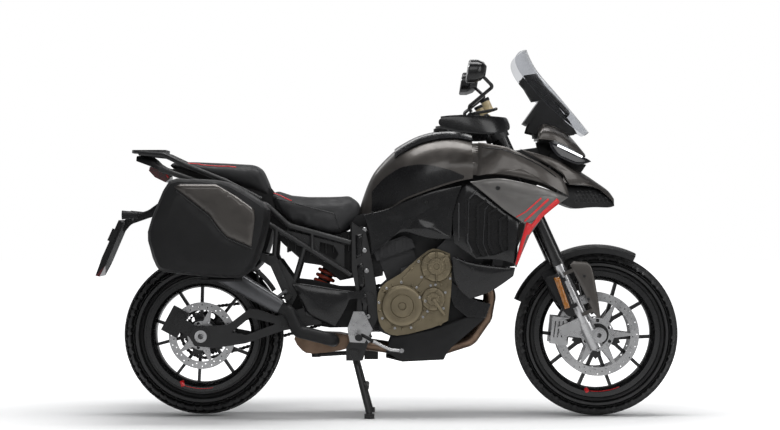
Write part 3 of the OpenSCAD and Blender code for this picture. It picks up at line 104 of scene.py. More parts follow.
floor_mesh = bpy.data.meshes.new("floor")
corners = [(x * FLOOR_HALF, y * FLOOR_HALF, 0) for x, y in ((-1, -1), (1, -1), (1, 1), (-1, 1))]
floor_mesh.from_pydata(corners, [], [(0, 1, 2, 3)])
floor = bpy.data.objects.new("floor", floor_mesh)
floor.location.z = -FLOOR_DROP
bpy.context.scene.collection.objects.link(floor)
floor_white = bpy.data.materials.new("floor_white")
floor_white.use_nodes = True
tree = floor_white.node_tree
bsdf = tree.nodes["Principled BSDF"]
bsdf.inputs["Base Color"].default_value = (FLOOR_WHITE, FLOOR_WHITE, FLOOR_WHITE, 1)
bsdf.inputs["Roughness"].default_value = 0.9
bsdf.inputs["Specular IOR Level"].default_value = 0.1
bsdf.inputs["Emission Color"].default_value = (1, 1, 1, 1)
where = tree.nodes.new("ShaderNodeTexCoord")
squeeze = tree.nodes.new("ShaderNodeMapping")
squeeze.inputs["Scale"].default_value = (FADE_LONG, 1, 1)
away = tree.nodes.new("ShaderNodeVectorMath")
away.operation = "LENGTH"
fade = tree.nodes.new("ShaderNodeMapRange")
fade.inputs["From Min"].default_value, fade.inputs["From Max"].default_value = FADE_FROM, FADE_TO
_, direct = seen_directly(tree)
link(tree, where, "Object", squeeze, "Vector")
link(tree, squeeze, "Vector", away, 0)
link(tree, away, "Value", fade, "Value")
lift = math_node(tree, "MULTIPLY", (direct, 0), (fade, "Result"))
link(tree, lift, 0, bsdf, "Emission Strength")
floor_mesh.materials.append(floor_white)
print("floor", 2 * FLOOR_HALF, "m wide")

# %% [markdown]
# The world is plain white where the camera looks past the object. As a light it is dim, and what a glossy
# surface mirrors darkens upwards, as a studio with a dark ceiling does, so that black paint stays black.

# %% World
AMBIENT = 0.26
MIRRORED_LOW, MIRRORED_HIGH = (0.03, (0.36, 0.36, 0.36, 1)), (0.45, (0.08, 0.08, 0.085, 1))
world = bpy.data.worlds.new("studio")
bpy.context.scene.world = world
world.use_nodes = True
tree = world.node_tree
tree.nodes.clear()
out = tree.nodes.new("ShaderNodeOutputWorld")
ambient, white, mirrored = (tree.nodes.new("ShaderNodeBackground") for _ in range(3))
ambient.inputs["Color"].default_value = (0.95, 0.97, 1, 1)
ambient.inputs["Strength"].default_value = AMBIENT
white.inputs["Color"].default_value = (1, 1, 1, 1)
white.inputs["Strength"].default_value = 1.0
look = tree.nodes.new("ShaderNodeTexCoord")
height = tree.nodes.new("ShaderNodeSeparateXYZ")
ramp = tree.nodes.new("ShaderNodeValToRGB")
for element, (place, colour) in zip(ramp.color_ramp.elements, (MIRRORED_LOW, MIRRORED_HIGH)):
    element.position, element.color = place, colour
link(tree, look, "Generated", height, "Vector")
link(tree, height, "Z", ramp, "Fac")
link(tree, ramp, "Color", mirrored, "Color")
path, direct = seen_directly(tree)
first, second = tree.nodes.new("ShaderNodeMixShader"), tree.nodes.new("ShaderNodeMixShader")
link(tree, path, "Is Glossy Ray", first, "Fac")
link(tree, ambient, 0, first, 1)
link(tree, mirrored, 0, first, 2)
link(tree, direct, 0, second, "Fac")
link(tree, first, 0, second, 1)
link(tree, white, 0, second, 2)
link(tree, second, 0, out, "Surface")
print("world nodes", len(tree.nodes))

# %% [markdown]
# The studio light is soft and comes from above, so the tops of tank, seat and cases shine and the flanks stay
# dark. Four area lamps do that: one overhead, one high on the camera's side, one at the front quarter and a
# strip behind. Each row gives a lamp's place, turn in degrees, size and power.

# %% Lamps
LAMPS = {
    "overhead": ((0.1, -0.3, 4.2), (0, 0, 0), (4.5, 1.6), 165),
    "camera_side": ((0.8, -4.6, 3.0), (62, 0, 8), (5.0, 1.4), 62),
    "front_quarter": ((4.2, -2.6, 2.2), (70, 0, 58), (1.6, 2.2), 40),
    "far_strip": ((-0.4, 3.4, 2.8), (-58, 0, 0), (5.0, 0.7), 24),
}
for name, (at, turn, size, power) in LAMPS.items():
    data = bpy.data.lights.new(name, "AREA")
    data.shape = "RECTANGLE"
    data.size, data.size_y = size
    data.energy = power
    lamp = bpy.data.objects.new(name, data)
    lamp.location = at
    lamp.rotation_euler = [math.radians(a) for a in turn]
    bpy.context.scene.collection.objects.link(lamp)
print("lamps", len(LAMPS))

# %% [markdown]
# Every finish is a small node tree on the part's own coordinates, so nothing has to be unwrapped. A slow noise
# shifts the tone, a second one shifts the roughness as handling does, and a fine one is the grain of moulded
# plastic, cast metal or paint flake. Values that are the same all over go straight on the shader.

# %% The finish function
COAT_ROUGH, BUMP_HEIGHT = 0.12, 0.0006
LOW, HIGH = 0.3, 0.7
finishes = {}


def finish(name, colour, rough, metal=0.0, coat=0.0, tone=0.18, tone_size=0.09, spread=0.08,
           grain=0.0, grain_size=0.0012, stretch=(1, 1, 1), spec=0.5):
    material = bpy.data.materials.new(name)
    material.use_nodes = True
    tree = material.node_tree
    bsdf = tree.nodes["Principled BSDF"]
    bsdf.inputs["Metallic"].default_value = metal
    bsdf.inputs["Specular IOR Level"].default_value = spec
    bsdf.inputs["Coat Weight"].default_value = coat
    bsdf.inputs["Coat Roughness"].default_value = COAT_ROUGH
    where = tree.nodes.new("ShaderNodeTexCoord")
    slow = tree.nodes.new("ShaderNodeTexNoise")
    slow.inputs["Scale"].default_value = 1 / tone_size
    slow.inputs["Detail"].default_value = 5
    link(tree, where, "Object", slow, "Vector")
    shade = tree.nodes.new("ShaderNodeValToRGB")
    for element, place, level in zip(shade.color_ramp.elements, (LOW, HIGH), (1 - tone, 1 + tone)):
        element.position = place
        element.color = (*(c * level for c in colour), 1)
    link(tree, slow, "Fac", shade, "Fac")
    link(tree, shade, "Color", bsdf, "Base Color")
    worn = tree.nodes.new("ShaderNodeMapRange")
    worn.inputs["From Min"].default_value, worn.inputs["From Max"].default_value = LOW, HIGH
    worn.inputs["To Min"].default_value, worn.inputs["To Max"].default_value = rough - spread, rough + spread
    handled = tree.nodes.new("ShaderNodeTexNoise")
    handled.inputs["Scale"].default_value = 2.7 / tone_size
    handled.inputs["Detail"].default_value = 3
    link(tree, where, "Object", handled, "Vector")
    link(tree, handled, "Fac", worn, "Value")
    link(tree, worn, "Result", bsdf, "Roughness")
    if grain:
        place = tree.nodes.new("ShaderNodeMapping")
        place.inputs["Scale"].default_value = stretch
        fine = tree.nodes.new("ShaderNodeTexNoise")
        fine.inputs["Scale"].default_value = 1 / grain_size
        fine.inputs["Detail"].default_value = 2
        bump = tree.nodes.new("ShaderNodeBump")
        bump.inputs["Strength"].default_value = grain
        bump.inputs["Distance"].default_value = BUMP_HEIGHT
        link(tree, where, "Object", place, "Vector")
        link(tree, place, "Vector", fine, "Vector")
        link(tree, fine, "Fac", bump, "Height")
        link(tree, bump, "Normal", bsdf, "Normal")
    finishes[name] = material
    return bsdf


print("finishes so far", len(finishes))

# %% [markdown]
# The machine is dark metallic grey and black, with bronze engine covers, a red spring and red stripes. The
# screen lets light through, and the light strips shine a little.

# %% Paint, plastics and metals
finish("paint", (0.064, 0.058, 0.053), 0.36, metal=0.65, coat=0.35, tone=0.08, grain=0.05, grain_size=0.0006)
finish("wing", (0.13, 0.125, 0.12), 0.40, metal=0.55, coat=0.2, tone=0.08, grain=0.05, grain_size=0.0006)
finish("black_plastic", (0.0085, 0.0085, 0.009), 0.50, spec=0.24, grain=0.18, grain_size=0.0011)
finish("gloss_black", (0.005, 0.005, 0.0055), 0.26, coat=0.22, spec=0.3, tone=0.1, spread=0.05)
finish("frame_metal", (0.016, 0.016, 0.0165), 0.42, metal=0.25, grain=0.12, grain_size=0.0016)
finish("engine_metal", (0.028, 0.028, 0.029), 0.48, metal=0.5, grain=0.25, grain_size=0.0022)
finish("cover_bronze", (0.185, 0.155, 0.102), 0.40, metal=0.75, grain=0.16, grain_size=0.0018)
finish("aluminium", (0.46, 0.46, 0.465), 0.30, metal=1.0, grain=0.08, grain_size=0.0014)
finish("steel", (0.44, 0.44, 0.445), 0.27, metal=1.0, tone=0.1, grain=0.10, grain_size=0.0009,
       stretch=(1, 8, 1))
finish("exhaust_steel", (0.16, 0.108, 0.076), 0.34, metal=0.9, tone=0.3, tone_size=0.06, grain=0.05)
finish("silencer", (0.085, 0.086, 0.09), 0.38, metal=0.85, grain=0.06, stretch=(1, 6, 1))
finish("spring", (0.34, 0.040, 0.018), 0.32, coat=0.3)
finish("tyre", (0.016, 0.016, 0.0165), 0.55, spec=0.42, grain=0.3, grain_size=0.0018)
finish("rim", (0.010, 0.010, 0.0105), 0.26, metal=0.3, coat=0.3, tone=0.12, spread=0.05)
finish("rubber", (0.011, 0.011, 0.0115), 0.66, spec=0.3, grain=0.35, grain_size=0.0016)
finish("seat", (0.017, 0.017, 0.018), 0.58, spec=0.35, grain=0.55, grain_size=0.0016)
finish("lamp_red", (0.07, 0.004, 0.006), 0.12, coat=0.8, tone=0.3, tone_size=0.012)
finish("lamp_clear", (0.010, 0.010, 0.012), 0.10, coat=0.25, tone=0.1, spread=0.03, spec=0.25)
finish("reservoir", (0.40, 0.32, 0.18), 0.22, coat=0.4, tone=0.25, tone_size=0.02)
# A lighter grey that paints the highlight on the louvres' lit front edges.
finish("highlight_grey", (0.050, 0.050, 0.052), 0.42, metal=0.3, tone=0.1)
finish("red_stripe", (0.62, 0.012, 0.016), 0.35, coat=0.2, tone=0.06)
finish("amber", (0.27, 0.095, 0.006), 0.20, coat=0.7, tone=0.2, tone_size=0.006)
finish("mirror_glass", (0.82, 0.83, 0.84), 0.04, metal=1.0, tone=0.02, spread=0.01)
finish("display_glass", (0.006, 0.010, 0.018), 0.08, coat=0.9, tone=0.3)
screen = finish("screen", (0.62, 0.63, 0.65), 0.05, tone=0.04, spread=0.015)
screen.inputs["Transmission Weight"].default_value = 1.0
screen.inputs["IOR"].default_value = 1.1
light_strip = finish("light_strip", (0.9, 0.92, 0.95), 0.2)
light_strip.inputs["Emission Color"].default_value = (0.95, 0.97, 1, 1)
light_strip.inputs["Emission Strength"].default_value = 1.4
print("finishes", len(finishes))

# %% [markdown]
# Each node gets one finish. The frame's nodes arrive as triangles with every face cut loose. Welding them for
# display and splitting only at real edges lets tubes, discs and castings shade as round without a vertex being
# moved.

# %% Finish every node
NODE_FINISH = {
    "frame_metal": "main_frame subframe fork_clamps centre_stand side_stand swingarm luggage_rack",
    "engine_metal": "engine radiator rear_sprocket chain",
    "cover_bronze": "engine_covers",
    "exhaust_steel": "exhaust",
    "silencer": "silencer",
    "spring": "rear_shock",
    "aluminium": "rear_axle front_axle front_calipers foot_controls fork_sliders",
    "steel": "front_discs rear_disc",
    "rim": "front_rim rear_rim fork_tubes rear_caliper",
    "tyre": "front_tyre rear_tyre",
    "paint": "fuel_tank upper_fairing beak fork_guards",
    "wing": "wing_panels",
    "seat": "rider_seat pillion_seat",
    "lamp_red": "tail_lamp",
    "lamp_clear": "headlamps",
    "screen": "windscreen",
    "gloss_black": "tank_cover frame_covers lower_cowl hand_guards mirrors vent_panels",
    "black_plastic": "tail_unit plate_holder case_right case_left case_lid_right case_lid_left inner_cowl"
                     " instrument belly_pan front_fender rear_hugger handlebar bar_controls",
}
WELD = 0.00002
NODE_SPLIT = 34


def smooth_faces(mesh):
    mesh.polygons.foreach_set("use_smooth", [True] * len(mesh.polygons))


def split_edges(obj, degrees):
    split = obj.modifiers.new("edges", "EDGE_SPLIT")
    split.split_angle = math.radians(degrees)


def shade_round(obj):
    mesh = obj.data
    if "custom_normal" in mesh.attributes:
        mesh.attributes.remove(mesh.attributes["custom_normal"])
    smooth_faces(mesh)
    weld = obj.modifiers.new("weld", "WELD")
    weld.merge_threshold = WELD
    split_edges(obj, NODE_SPLIT)


finish_of = {n: f for f, names in NODE_FINISH.items() for n in names.split()}
for name, obj in nodes.items():
    obj.data.materials.clear()
    obj.data.materials.append(finishes[finish_of[name]])
    shade_round(obj)
print("finished nodes", len(finish_of))

# %% [markdown]
# Bodywork is moulded in smooth sheets, while the frame's panels are lofts of flat facets. A skin is a copy of
# the panel, welded and turned back into quads, that one subdivision surface rounds. Edges that turn sharply are
# creased first, so outlines and styling lines stay where the panel has them.

# %% Smooth skins over the bodywork
body_of = {n: body for body, members in frame["record"]["behaviour"]["bodies"].items() for n in members}
CREASE_ANGLE = math.radians(40)
FLAT_ANGLE, SQUARE_ANGLE = math.radians(30), math.radians(60)
SKIN_LEVELS = 2
SKINNED = ("fuel_tank", "tank_cover", "upper_fairing", "beak", "wing_panels", "frame_covers", "lower_cowl",
           "fork_guards", "hand_guards", "windscreen", "headlamps")
skins = {}


def mesh_of(name, bm):
    mesh = bpy.data.meshes.new(name)
    bm.to_mesh(mesh)
    bm.free()
    return mesh


def add_object(name, mesh, body, material):
    mesh.materials.append(finishes[material])
    obj = bpy.data.objects.new(name, mesh)
    bpy.context.scene.collection.objects.link(obj)
    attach(obj, body)
    return obj


def skin(node):
    bm = bmesh.new()
    bm.from_mesh(nodes[node].data)
    bmesh.ops.remove_doubles(bm, verts=bm.verts, dist=WELD)
    bmesh.ops.join_triangles(bm, faces=bm.faces, angle_face_threshold=FLAT_ANGLE,
                             angle_shape_threshold=SQUARE_ANGLE)
    crease = bm.edges.layers.float.new("crease_edge")
    for edge in bm.edges:
        if len(edge.link_faces) == 2 and edge.calc_face_angle(0) > CREASE_ANGLE:
            edge[crease] = 1
            edge.smooth = False
    for face in bm.faces:
        face.smooth = True
    obj = add_object(node + "_skin", mesh_of(node + "_skin", bm), body_of[node], finish_of[node])
    subdivide = obj.modifiers.new("round", "SUBSURF")
    subdivide.levels = subdivide.render_levels = SKIN_LEVELS
    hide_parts(node)
    skins[node] = obj


for node in SKINNED:
    skin(node)
print("skins", len(skins))

# %% [markdown]
# Some nodes wear two finishes: the fork guards are black towards the rear, the exhaust has a black elbow behind
# its brown headers, the shock a dark damper inside its red spring. Faces are sorted by where their middle lies,
# so the split runs along edges that the shape already has.

# %% Second finishes
SHOCK_LOW, SHOCK_HIGH = Vector((-0.292, 0, 0.455)), Vector((-0.196, 0, 0.676))
DAMPER_R = 0.027
CUP, CUP_R = Vector((0.393, 0.290, 1.203)), 0.042


def off_axis(c, a, b):
    along = (b - a).normalized()
    return ((c - a) - (c - a).dot(along) * along).length


def off_cup(c):
    return (Vector((c.x, abs(c.y), c.z)) - CUP).length


def second_finish(obj, material, wanted):
    obj.data.materials.append(finishes[material])
    index = len(obj.data.materials) - 1
    count = 0
    for polygon in obj.data.polygons:
        if wanted(polygon.center):
            polygon.material_index = index
            count += 1
    print(obj.name, material, count)


second_finish(skins["fork_guards"], "black_plastic", lambda c: c.x < 0.70 + (0.60 - c.z) * 0.36)
second_finish(nodes["exhaust"], "black_plastic", lambda c: c.y < -0.083)
second_finish(nodes["rear_shock"], "frame_metal", lambda c: off_axis(c, SHOCK_LOW, SHOCK_HIGH) < DAMPER_R)
second_finish(nodes["bar_controls"], "rubber", lambda c: abs(c.y) > 0.366)
second_finish(nodes["bar_controls"], "reservoir", lambda c: off_cup(c) < CUP_R)
second_finish(nodes["plate_holder"], "lamp_red", lambda c: c.z < 0.585 and c.x < -1.13)
second_finish(nodes["front_calipers"], "frame_metal", lambda c: c.x > 0.708)
second_finish(nodes["foot_controls"], "frame_metal",
              lambda c: c.x < -0.20 and c.z > 0.46 and abs(c.y) < 0.17)
second_finish(nodes["foot_controls"], "rubber", lambda c: abs(c.y) > 0.166 and c.z > 0.30)

# %% [markdown]
# The tyre's rubber is one revolved section with the road pattern pressed into it. The section is read back from
# the node, so the new tyre has its exact form. Points are closer together on the tread than on the sidewall.

# %% The tyre's section
SECTION_CENTRE = 0.45
SECTION_STEP = 0.0036
SIDEWALL_STEPS = 2.2


def tyre_section(node):
    low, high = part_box(node)
    middle = (low + high) / 2
    points = {}
    for v in nodes[node].data.vertices:
        r = math.hypot(v.co.x - middle.x, v.co.z - middle.z)
        points[(round(r, 4), round(v.co.y, 4))] = True
    rim_r, top_r = min(r for r, y in points), max(r for r, y in points)
    centre_r = rim_r + SECTION_CENTRE * (top_r - rim_r)
    ring = sorted(points, key=lambda p: math.atan2(p[1], p[0] - centre_r))
    return middle, ring, top_r


def spaced(ring, tread_from):
    out = []
    for a, b in zip(ring, ring[1:] + ring[:1]):
        coarse = 1 if max(a[0], b[0]) > tread_from else SIDEWALL_STEPS
        n = max(1, round(math.dist(a, b) / (SECTION_STEP * coarse)))
        out += [(a[0] + (b[0] - a[0]) * k / n, a[1] + (b[1] - a[1]) * k / n) for k in range(n)]
    return out


for node in ("front_tyre", "rear_tyre"):
    print(node, "section points", len(tyre_section(node)[1]))

# %% [markdown]
# Each ring of the tyre is sunk where a curved groove passes: long slanted cuts, staggered left and right, with
# short ones between them near the shoulder. Real grooves in the mesh show at the tyre's edge, as bump can't.

# %% Treaded tyres
TREAD_DEPTH = 0.0055
TREAD_SHARE = 0.58
CROWN_R = 0.02
GROOVES = 24
RINGS = 384
TREAD_SPLIT = 50


def mesh_from(name, verts, faces, smooth=True, outward=False):
    mesh = bpy.data.meshes.new(name)
    mesh.from_pydata(verts, [], faces)
    if outward:
        bm = bmesh.new()
        bm.from_mesh(mesh)
        bmesh.ops.recalc_face_normals(bm, faces=bm.faces)
        bm.to_mesh(mesh)
        bm.free()
    if smooth:
        smooth_faces(mesh)
    return mesh


def cut(phase, half_width):
    return max(0, 1 - (abs(phase % 1 - 0.5) / half_width) ** 4)


def sunk(turn, across):
    reach = abs(across)
    start = turn * GROOVES + (0.5 if across > 0 else 0.0)
    long_cut = cut(start + 0.75 * reach ** 1.3, 0.075) if 0.08 < reach < 0.94 else 0
    short_cut = cut(start + 0.5 + 0.55 * reach, 0.055) if 0.45 < reach < 0.97 else 0
    return max(long_cut, short_cut)


def treaded(node):
    middle, ring, top_r = tyre_section(node)
    tread_from = top_r - TREAD_SHARE * max(y for r, y in ring)
    section = spaced(ring, tread_from)
    reach = max(abs(y) for r, y in section if r > tread_from)
    share = {p: math.atan2(p[1], p[0] - tread_from + CROWN_R) / math.atan2(reach, CROWN_R)
             for p in section if p[0] > tread_from}
    verts = []
    for k in range(RINGS):
        turn = k / RINGS
        c, s = math.cos(math.tau * turn), math.sin(math.tau * turn)
        for r, y in section:
            if r > tread_from:
                r -= TREAD_DEPTH * sunk(turn, share[(r, y)])
            verts.append((middle.x + r * c, y, middle.z + r * s))
    n = len(section)
    faces = [(k * n + i, k * n + (i + 1) % n, (k + 1) % RINGS * n + (i + 1) % n, (k + 1) % RINGS * n + i)
             for k in range(RINGS) for i in range(n)]
    mesh = mesh_from(node + "_tread", verts, faces, outward=True)
    obj = add_object(node + "_tread", mesh, body_of[node], "tyre")
    split_edges(obj, TREAD_SPLIT)
    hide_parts(node)
    print(obj.name, len(mesh.polygons), "faces")


treaded("front_tyre")
treaded("rear_tyre")

# %% [markdown]
# Both seats are foam under a stretched cover. A plain solid is drawn first, through stations along the seat
# that give its bottom, top and half width in millimetres, with well rounded corners.

# %% Seat solids
PAD_AROUND, PAD_POWER = 28, 0.55
RIDER = [(-462, 858, 898, 104), (-440, 832, 888, 126), (-385, 776, 870, 138), (-320, 748, 864, 140),
         (-239, 724, 864, 132), (-183, 720, 866, 118), (-150, 748, 871, 104), (-120, 784, 852, 92),
         (-108, 800, 832, 80)]
PILLION = [(-870, 988, 1002, 88), (-840, 982, 1004, 112), (-752, 966, 1002, 128), (-632, 930, 997, 132),
           (-540, 896, 992, 130), (-506, 880, 984, 126), (-484, 872, 930, 118), (-470, 868, 894, 110)]


def barrel_faces(rows, around):
    faces = [(i * around + k, i * around + (k + 1) % around,
              (i + 1) * around + (k + 1) % around, (i + 1) * around + k)
             for i in range(rows - 1) for k in range(around)]
    return faces + [tuple(range(around))[::-1], tuple((rows - 1) * around + k for k in range(around))]


def pad_solid(name, stations):
    verts = []
    for x, low, high, half in stations:
        for k in range(PAD_AROUND):
            c, q = math.cos(math.tau * k / PAD_AROUND), math.sin(math.tau * k / PAD_AROUND)
            y = half * math.copysign(abs(c) ** PAD_POWER, c)
            z = (low + high) / 2 + (high - low) / 2 * math.copysign(abs(q) ** PAD_POWER, q)
            verts.append((x * MM, y * MM, z * MM))
    return mesh_from(name, verts, barrel_faces(len(stations), PAD_AROUND), smooth=False, outward=True)


# %% [markdown]
# Cloth simulation gives the cover its full form: the solid is remeshed evenly and blown up with a small
# pressure, and no point may move further than a cap. Gravity is off, because the cover is glued down at its
# edges. A sculpted solid would need every swelling drawn by hand.

# %% Padded seats
VOXEL, CAP, FILL = 0.006, 0.008, 0.8
COVER_MASS, COVER_STIFFNESS, PRESSURE, CLOTH_STEPS = 0.3, 14, 4, 20
RELAX_STEPS = 6


def settle(obj):
    shown = obj.evaluated_get(bpy.context.evaluated_depsgraph_get())
    mesh = bpy.data.meshes.new_from_object(shown)
    obj.modifiers.clear()
    obj.data = mesh


def swell(obj, cap):
    start = np.array([v.co[:] for v in obj.data.vertices])
    cloth = obj.modifiers.new("cover", "CLOTH").settings
    cloth.quality = 5
    cloth.mass = COVER_MASS
    cloth.tension_stiffness = cloth.compression_stiffness = COVER_STIFFNESS
    cloth.use_pressure = True
    cloth.uniform_pressure_force = PRESSURE
    cloth.effector_weights.gravity = 0
    for step in range(1, CLOTH_STEPS + 1):
        bpy.context.scene.frame_set(step)
    settle(obj)
    bpy.context.scene.frame_set(1)
    moved = np.array([v.co[:] for v in obj.data.vertices]) - start
    length = np.linalg.norm(moved, axis=1, keepdims=True)
    kept = start + moved * np.minimum(1, cap / np.maximum(length, 1e-9))
    obj.data.vertices.foreach_set("co", kept.ravel())
    print(obj.name, "swelled", round(float(length.max()) / MM, 1), "mm, capped at", cap / MM)


def soft_pad(node, stations, voxel, cap):
    obj = add_object(node + "_pad", pad_solid(node + "_pad", stations), body_of[node], "seat")
    remesh = obj.modifiers.new("even", "REMESH")
    remesh.mode = "VOXEL"
    remesh.voxel_size = voxel
    settle(obj)
    swell(obj, cap)
    obj.data.materials.clear()
    obj.data.materials.append(finishes["seat"])
    smooth_faces(obj.data)
    relax = obj.modifiers.new("even_out", "SMOOTH")
    relax.iterations = RELAX_STEPS
    rounder = obj.modifiers.new("round", "SUBSURF")
    rounder.levels = rounder.render_levels = 1
    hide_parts(node)
    skins[node] = obj
    print(obj.name, len(obj.data.polygons), "faces")


soft_pad("rider_seat", RIDER, VOXEL, CAP)
soft_pad("pillion_seat", PILLION, VOXEL, CAP)

# %% [markdown]
# Trim has to lie on the part that carries it. A ray is cast at the part from one side, and the point and normal
# that it finds place each bit of trim, so it sits on the skin from every view. Lines and outlines are given in
# millimetres, as they are seen from that side. The last value says if that view's outlines turn the same way
# as the faces they become.

# %% Casting on to a part
SIDES = {"right": -1, "left": 1}
RAY_FROM = 2.0
VIEWS = {
    "right": (lambda u, v: (u, -RAY_FROM, v), Vector((0, 1, 0)), True),
    "left": (lambda u, v: (u, RAY_FROM, v), Vector((0, -1, 0)), False),
    "back": (lambda u, v: (-RAY_FROM, u, v), Vector((1, 0, 0)), False),
    "top": (lambda u, v: (u, v, RAY_FROM), Vector((0, 0, -1)), True),
}
surfaces = {}


def surface(node):
    if node not in surfaces:
        shown = skins.get(node, nodes[node])
        surfaces[node] = BVHTree.FromObject(shown, bpy.context.evaluated_depsgraph_get())
    return surfaces[node]


def cast(node, view, u, v):
    start, direction, _ = VIEWS[view]
    place, normal, _, _ = surface(node).ray_cast(Vector(start(u * MM, v * MM)), direction)
    return (place, normal) if place is not None else None


def steps_along(line, step):
    out = []
    for a, b in zip(line, line[1:]):
        n = max(1, round(math.dist(a, b) / step))
        out += [tuple(p + (q - p) * k / n for p, q in zip(a, b)) for k in range(n)]
    return out + [tuple(line[-1])]


print("views", sorted(VIEWS))

# %% [markdown]
# Stripes, seams and light strips are ribbons: three points across at each step of a line, cast on to the part
# and joined into a strip, which then gets a little thickness. Stickers on the real machine lie in this way.

# %% Ribbons on a surface
ACROSS = (-0.5, 0, 0.5)
STRIPES = [
    ([(668, 858), (600, 800), (560, 752)], (20, 16)), ([(628, 862), (566, 806), (532, 776)], (9, 7)),
    ([(598, 866), (536, 812), (500, 792)], (6, 4)), ([(556, 766), (531, 700), (514, 650), (500, 606)], (34, 7)),
]


def ribbon(name, node, line, widths, material, word, lift=0.5, step=5):
    path = steps_along(line, step)
    rows = []
    for i, p in enumerate(path):
        a, b = path[max(i - 1, 0)], path[min(i + 1, len(path) - 1)]
        t = Vector((b[0] - a[0], b[1] - a[1])).normalized()
        w = widths[0] + (widths[1] - widths[0]) * i / (len(path) - 1)
        row = [cast(node, word, p[0] - t.y * w * k, p[1] + t.x * w * k) for k in ACROSS]
        if all(hit and hit[0].y * SIDES[word] > 0 for hit in row):
            rows.append(row)
    verts = [place + normal * lift * MM for row in rows for place, normal in row]
    faces = [(3 * i + k, 3 * i + k + 1, 3 * i + k + 4, 3 * i + k + 3)
             for i in range(len(rows) - 1) for k in (0, 1)]
    obj = add_object(name, mesh_from(name, verts, faces), body_of[node], material)
    thick = obj.modifiers.new("thick", "SOLIDIFY")
    thick.thickness = 2 * lift * MM
    thick.offset = 0


def ribbon_pair(name, node, line, widths, material, lift=0.5, step=5, number=""):
    for word in SIDES:
        ribbon(f"{name}_{word}{number}", node, line, widths, material, word, lift, step)


for i, (line, widths) in enumerate(STRIPES):
    ribbon_pair("wing_stripe", "wing_panels", line, widths, "red_stripe", number=f"_{i}")
ribbon_pair("light_strip", "headlamps", [(644, 1084), (700, 1060), (768, 1029)], (7, 6), "light_strip", 1.2)
ribbon_pair("tail_strip", "tail_lamp", [(-904, 990), (-886, 972), (-872, 948)], (9, 7), "red_stripe", 0.6, 4)
print("stripes", 2 * len(STRIPES), "and light strips", 4)

# %% [markdown]
# Outlined patches lie on a surface in the same way: the outline and a grid inside it are joined into triangles,
# each point is cast on to the part, and the sheet gets a little thickness. The painted covers of the case lids
# are the first, with the black seam below each.

# %% Patches on a surface
GRID, CLEAR = 1.3, 0.7
COVER_OUTLINE = [(-812, 906), (-787, 916), (-653, 916), (-570, 867), (-508, 820), (-505, 782), (-518, 680),
                 (-612, 719), (-642, 753), (-678, 803), (-798, 897)]
COVER_SEAM = [(-806, 893), (-680, 796), (-644, 745), (-612, 712), (-514, 672)]


def inside(outline, x, z):
    found = False
    for (x0, z0), (x1, z1) in zip(outline, outline[1:] + outline[:1]):
        if (z0 > z) != (z1 > z) and x < x0 + (z - z0) / (z1 - z0) * (x1 - x0):
            found = not found
    return found


def patch(name, node, outline, material, view, lift=0.8, thick=1.2, step=9):
    edge = steps_along(outline + outline[:1], step)[:-1]
    us, vs = [p[0] for p in outline], [p[1] for p in outline]
    grid = [(u, v) for u in np.arange(min(us), max(us), GRID * step)
            for v in np.arange(min(vs), max(vs), GRID * step)
            if inside(outline, u, v) and min(math.dist((u, v), e) for e in edge) > CLEAR * step]
    points, _, triangles, *_ = delaunay_2d_cdt([Vector(p) for p in edge + grid], [],
                                               [list(range(len(edge)))], 1, 1e-4)
    hits = [cast(node, view, *p) for p in points]
    kept = {i: n for n, i in enumerate(i for i, h in enumerate(hits) if h)}
    verts = [hits[i][0] + hits[i][1] * lift * MM for i in kept]
    faces = [[kept[i] for i in t] for t in triangles if all(i in kept for i in t)]
    turned = sum((b[0] - a[0]) * (b[1] + a[1]) for a, b in zip(outline, outline[1:] + outline[:1])) > 0
    if turned == VIEWS[view][2]:
        faces = [f[::-1] for f in faces]
    obj = add_object(name, mesh_from(name, verts, faces), body_of[node], material)
    solid = obj.modifiers.new("thick", "SOLIDIFY")
    solid.thickness = thick * MM
    solid.offset = -1
    print(name, len(faces), "faces")


for word in SIDES:
    patch("case_cover_" + word, "case_lid_" + word, COVER_OUTLINE, "paint", word, 1.0, 1.6, 12)
    ribbon("case_seam_" + word, "case_lid_" + word, COVER_SEAM, (5, 5), "gloss_black", word)
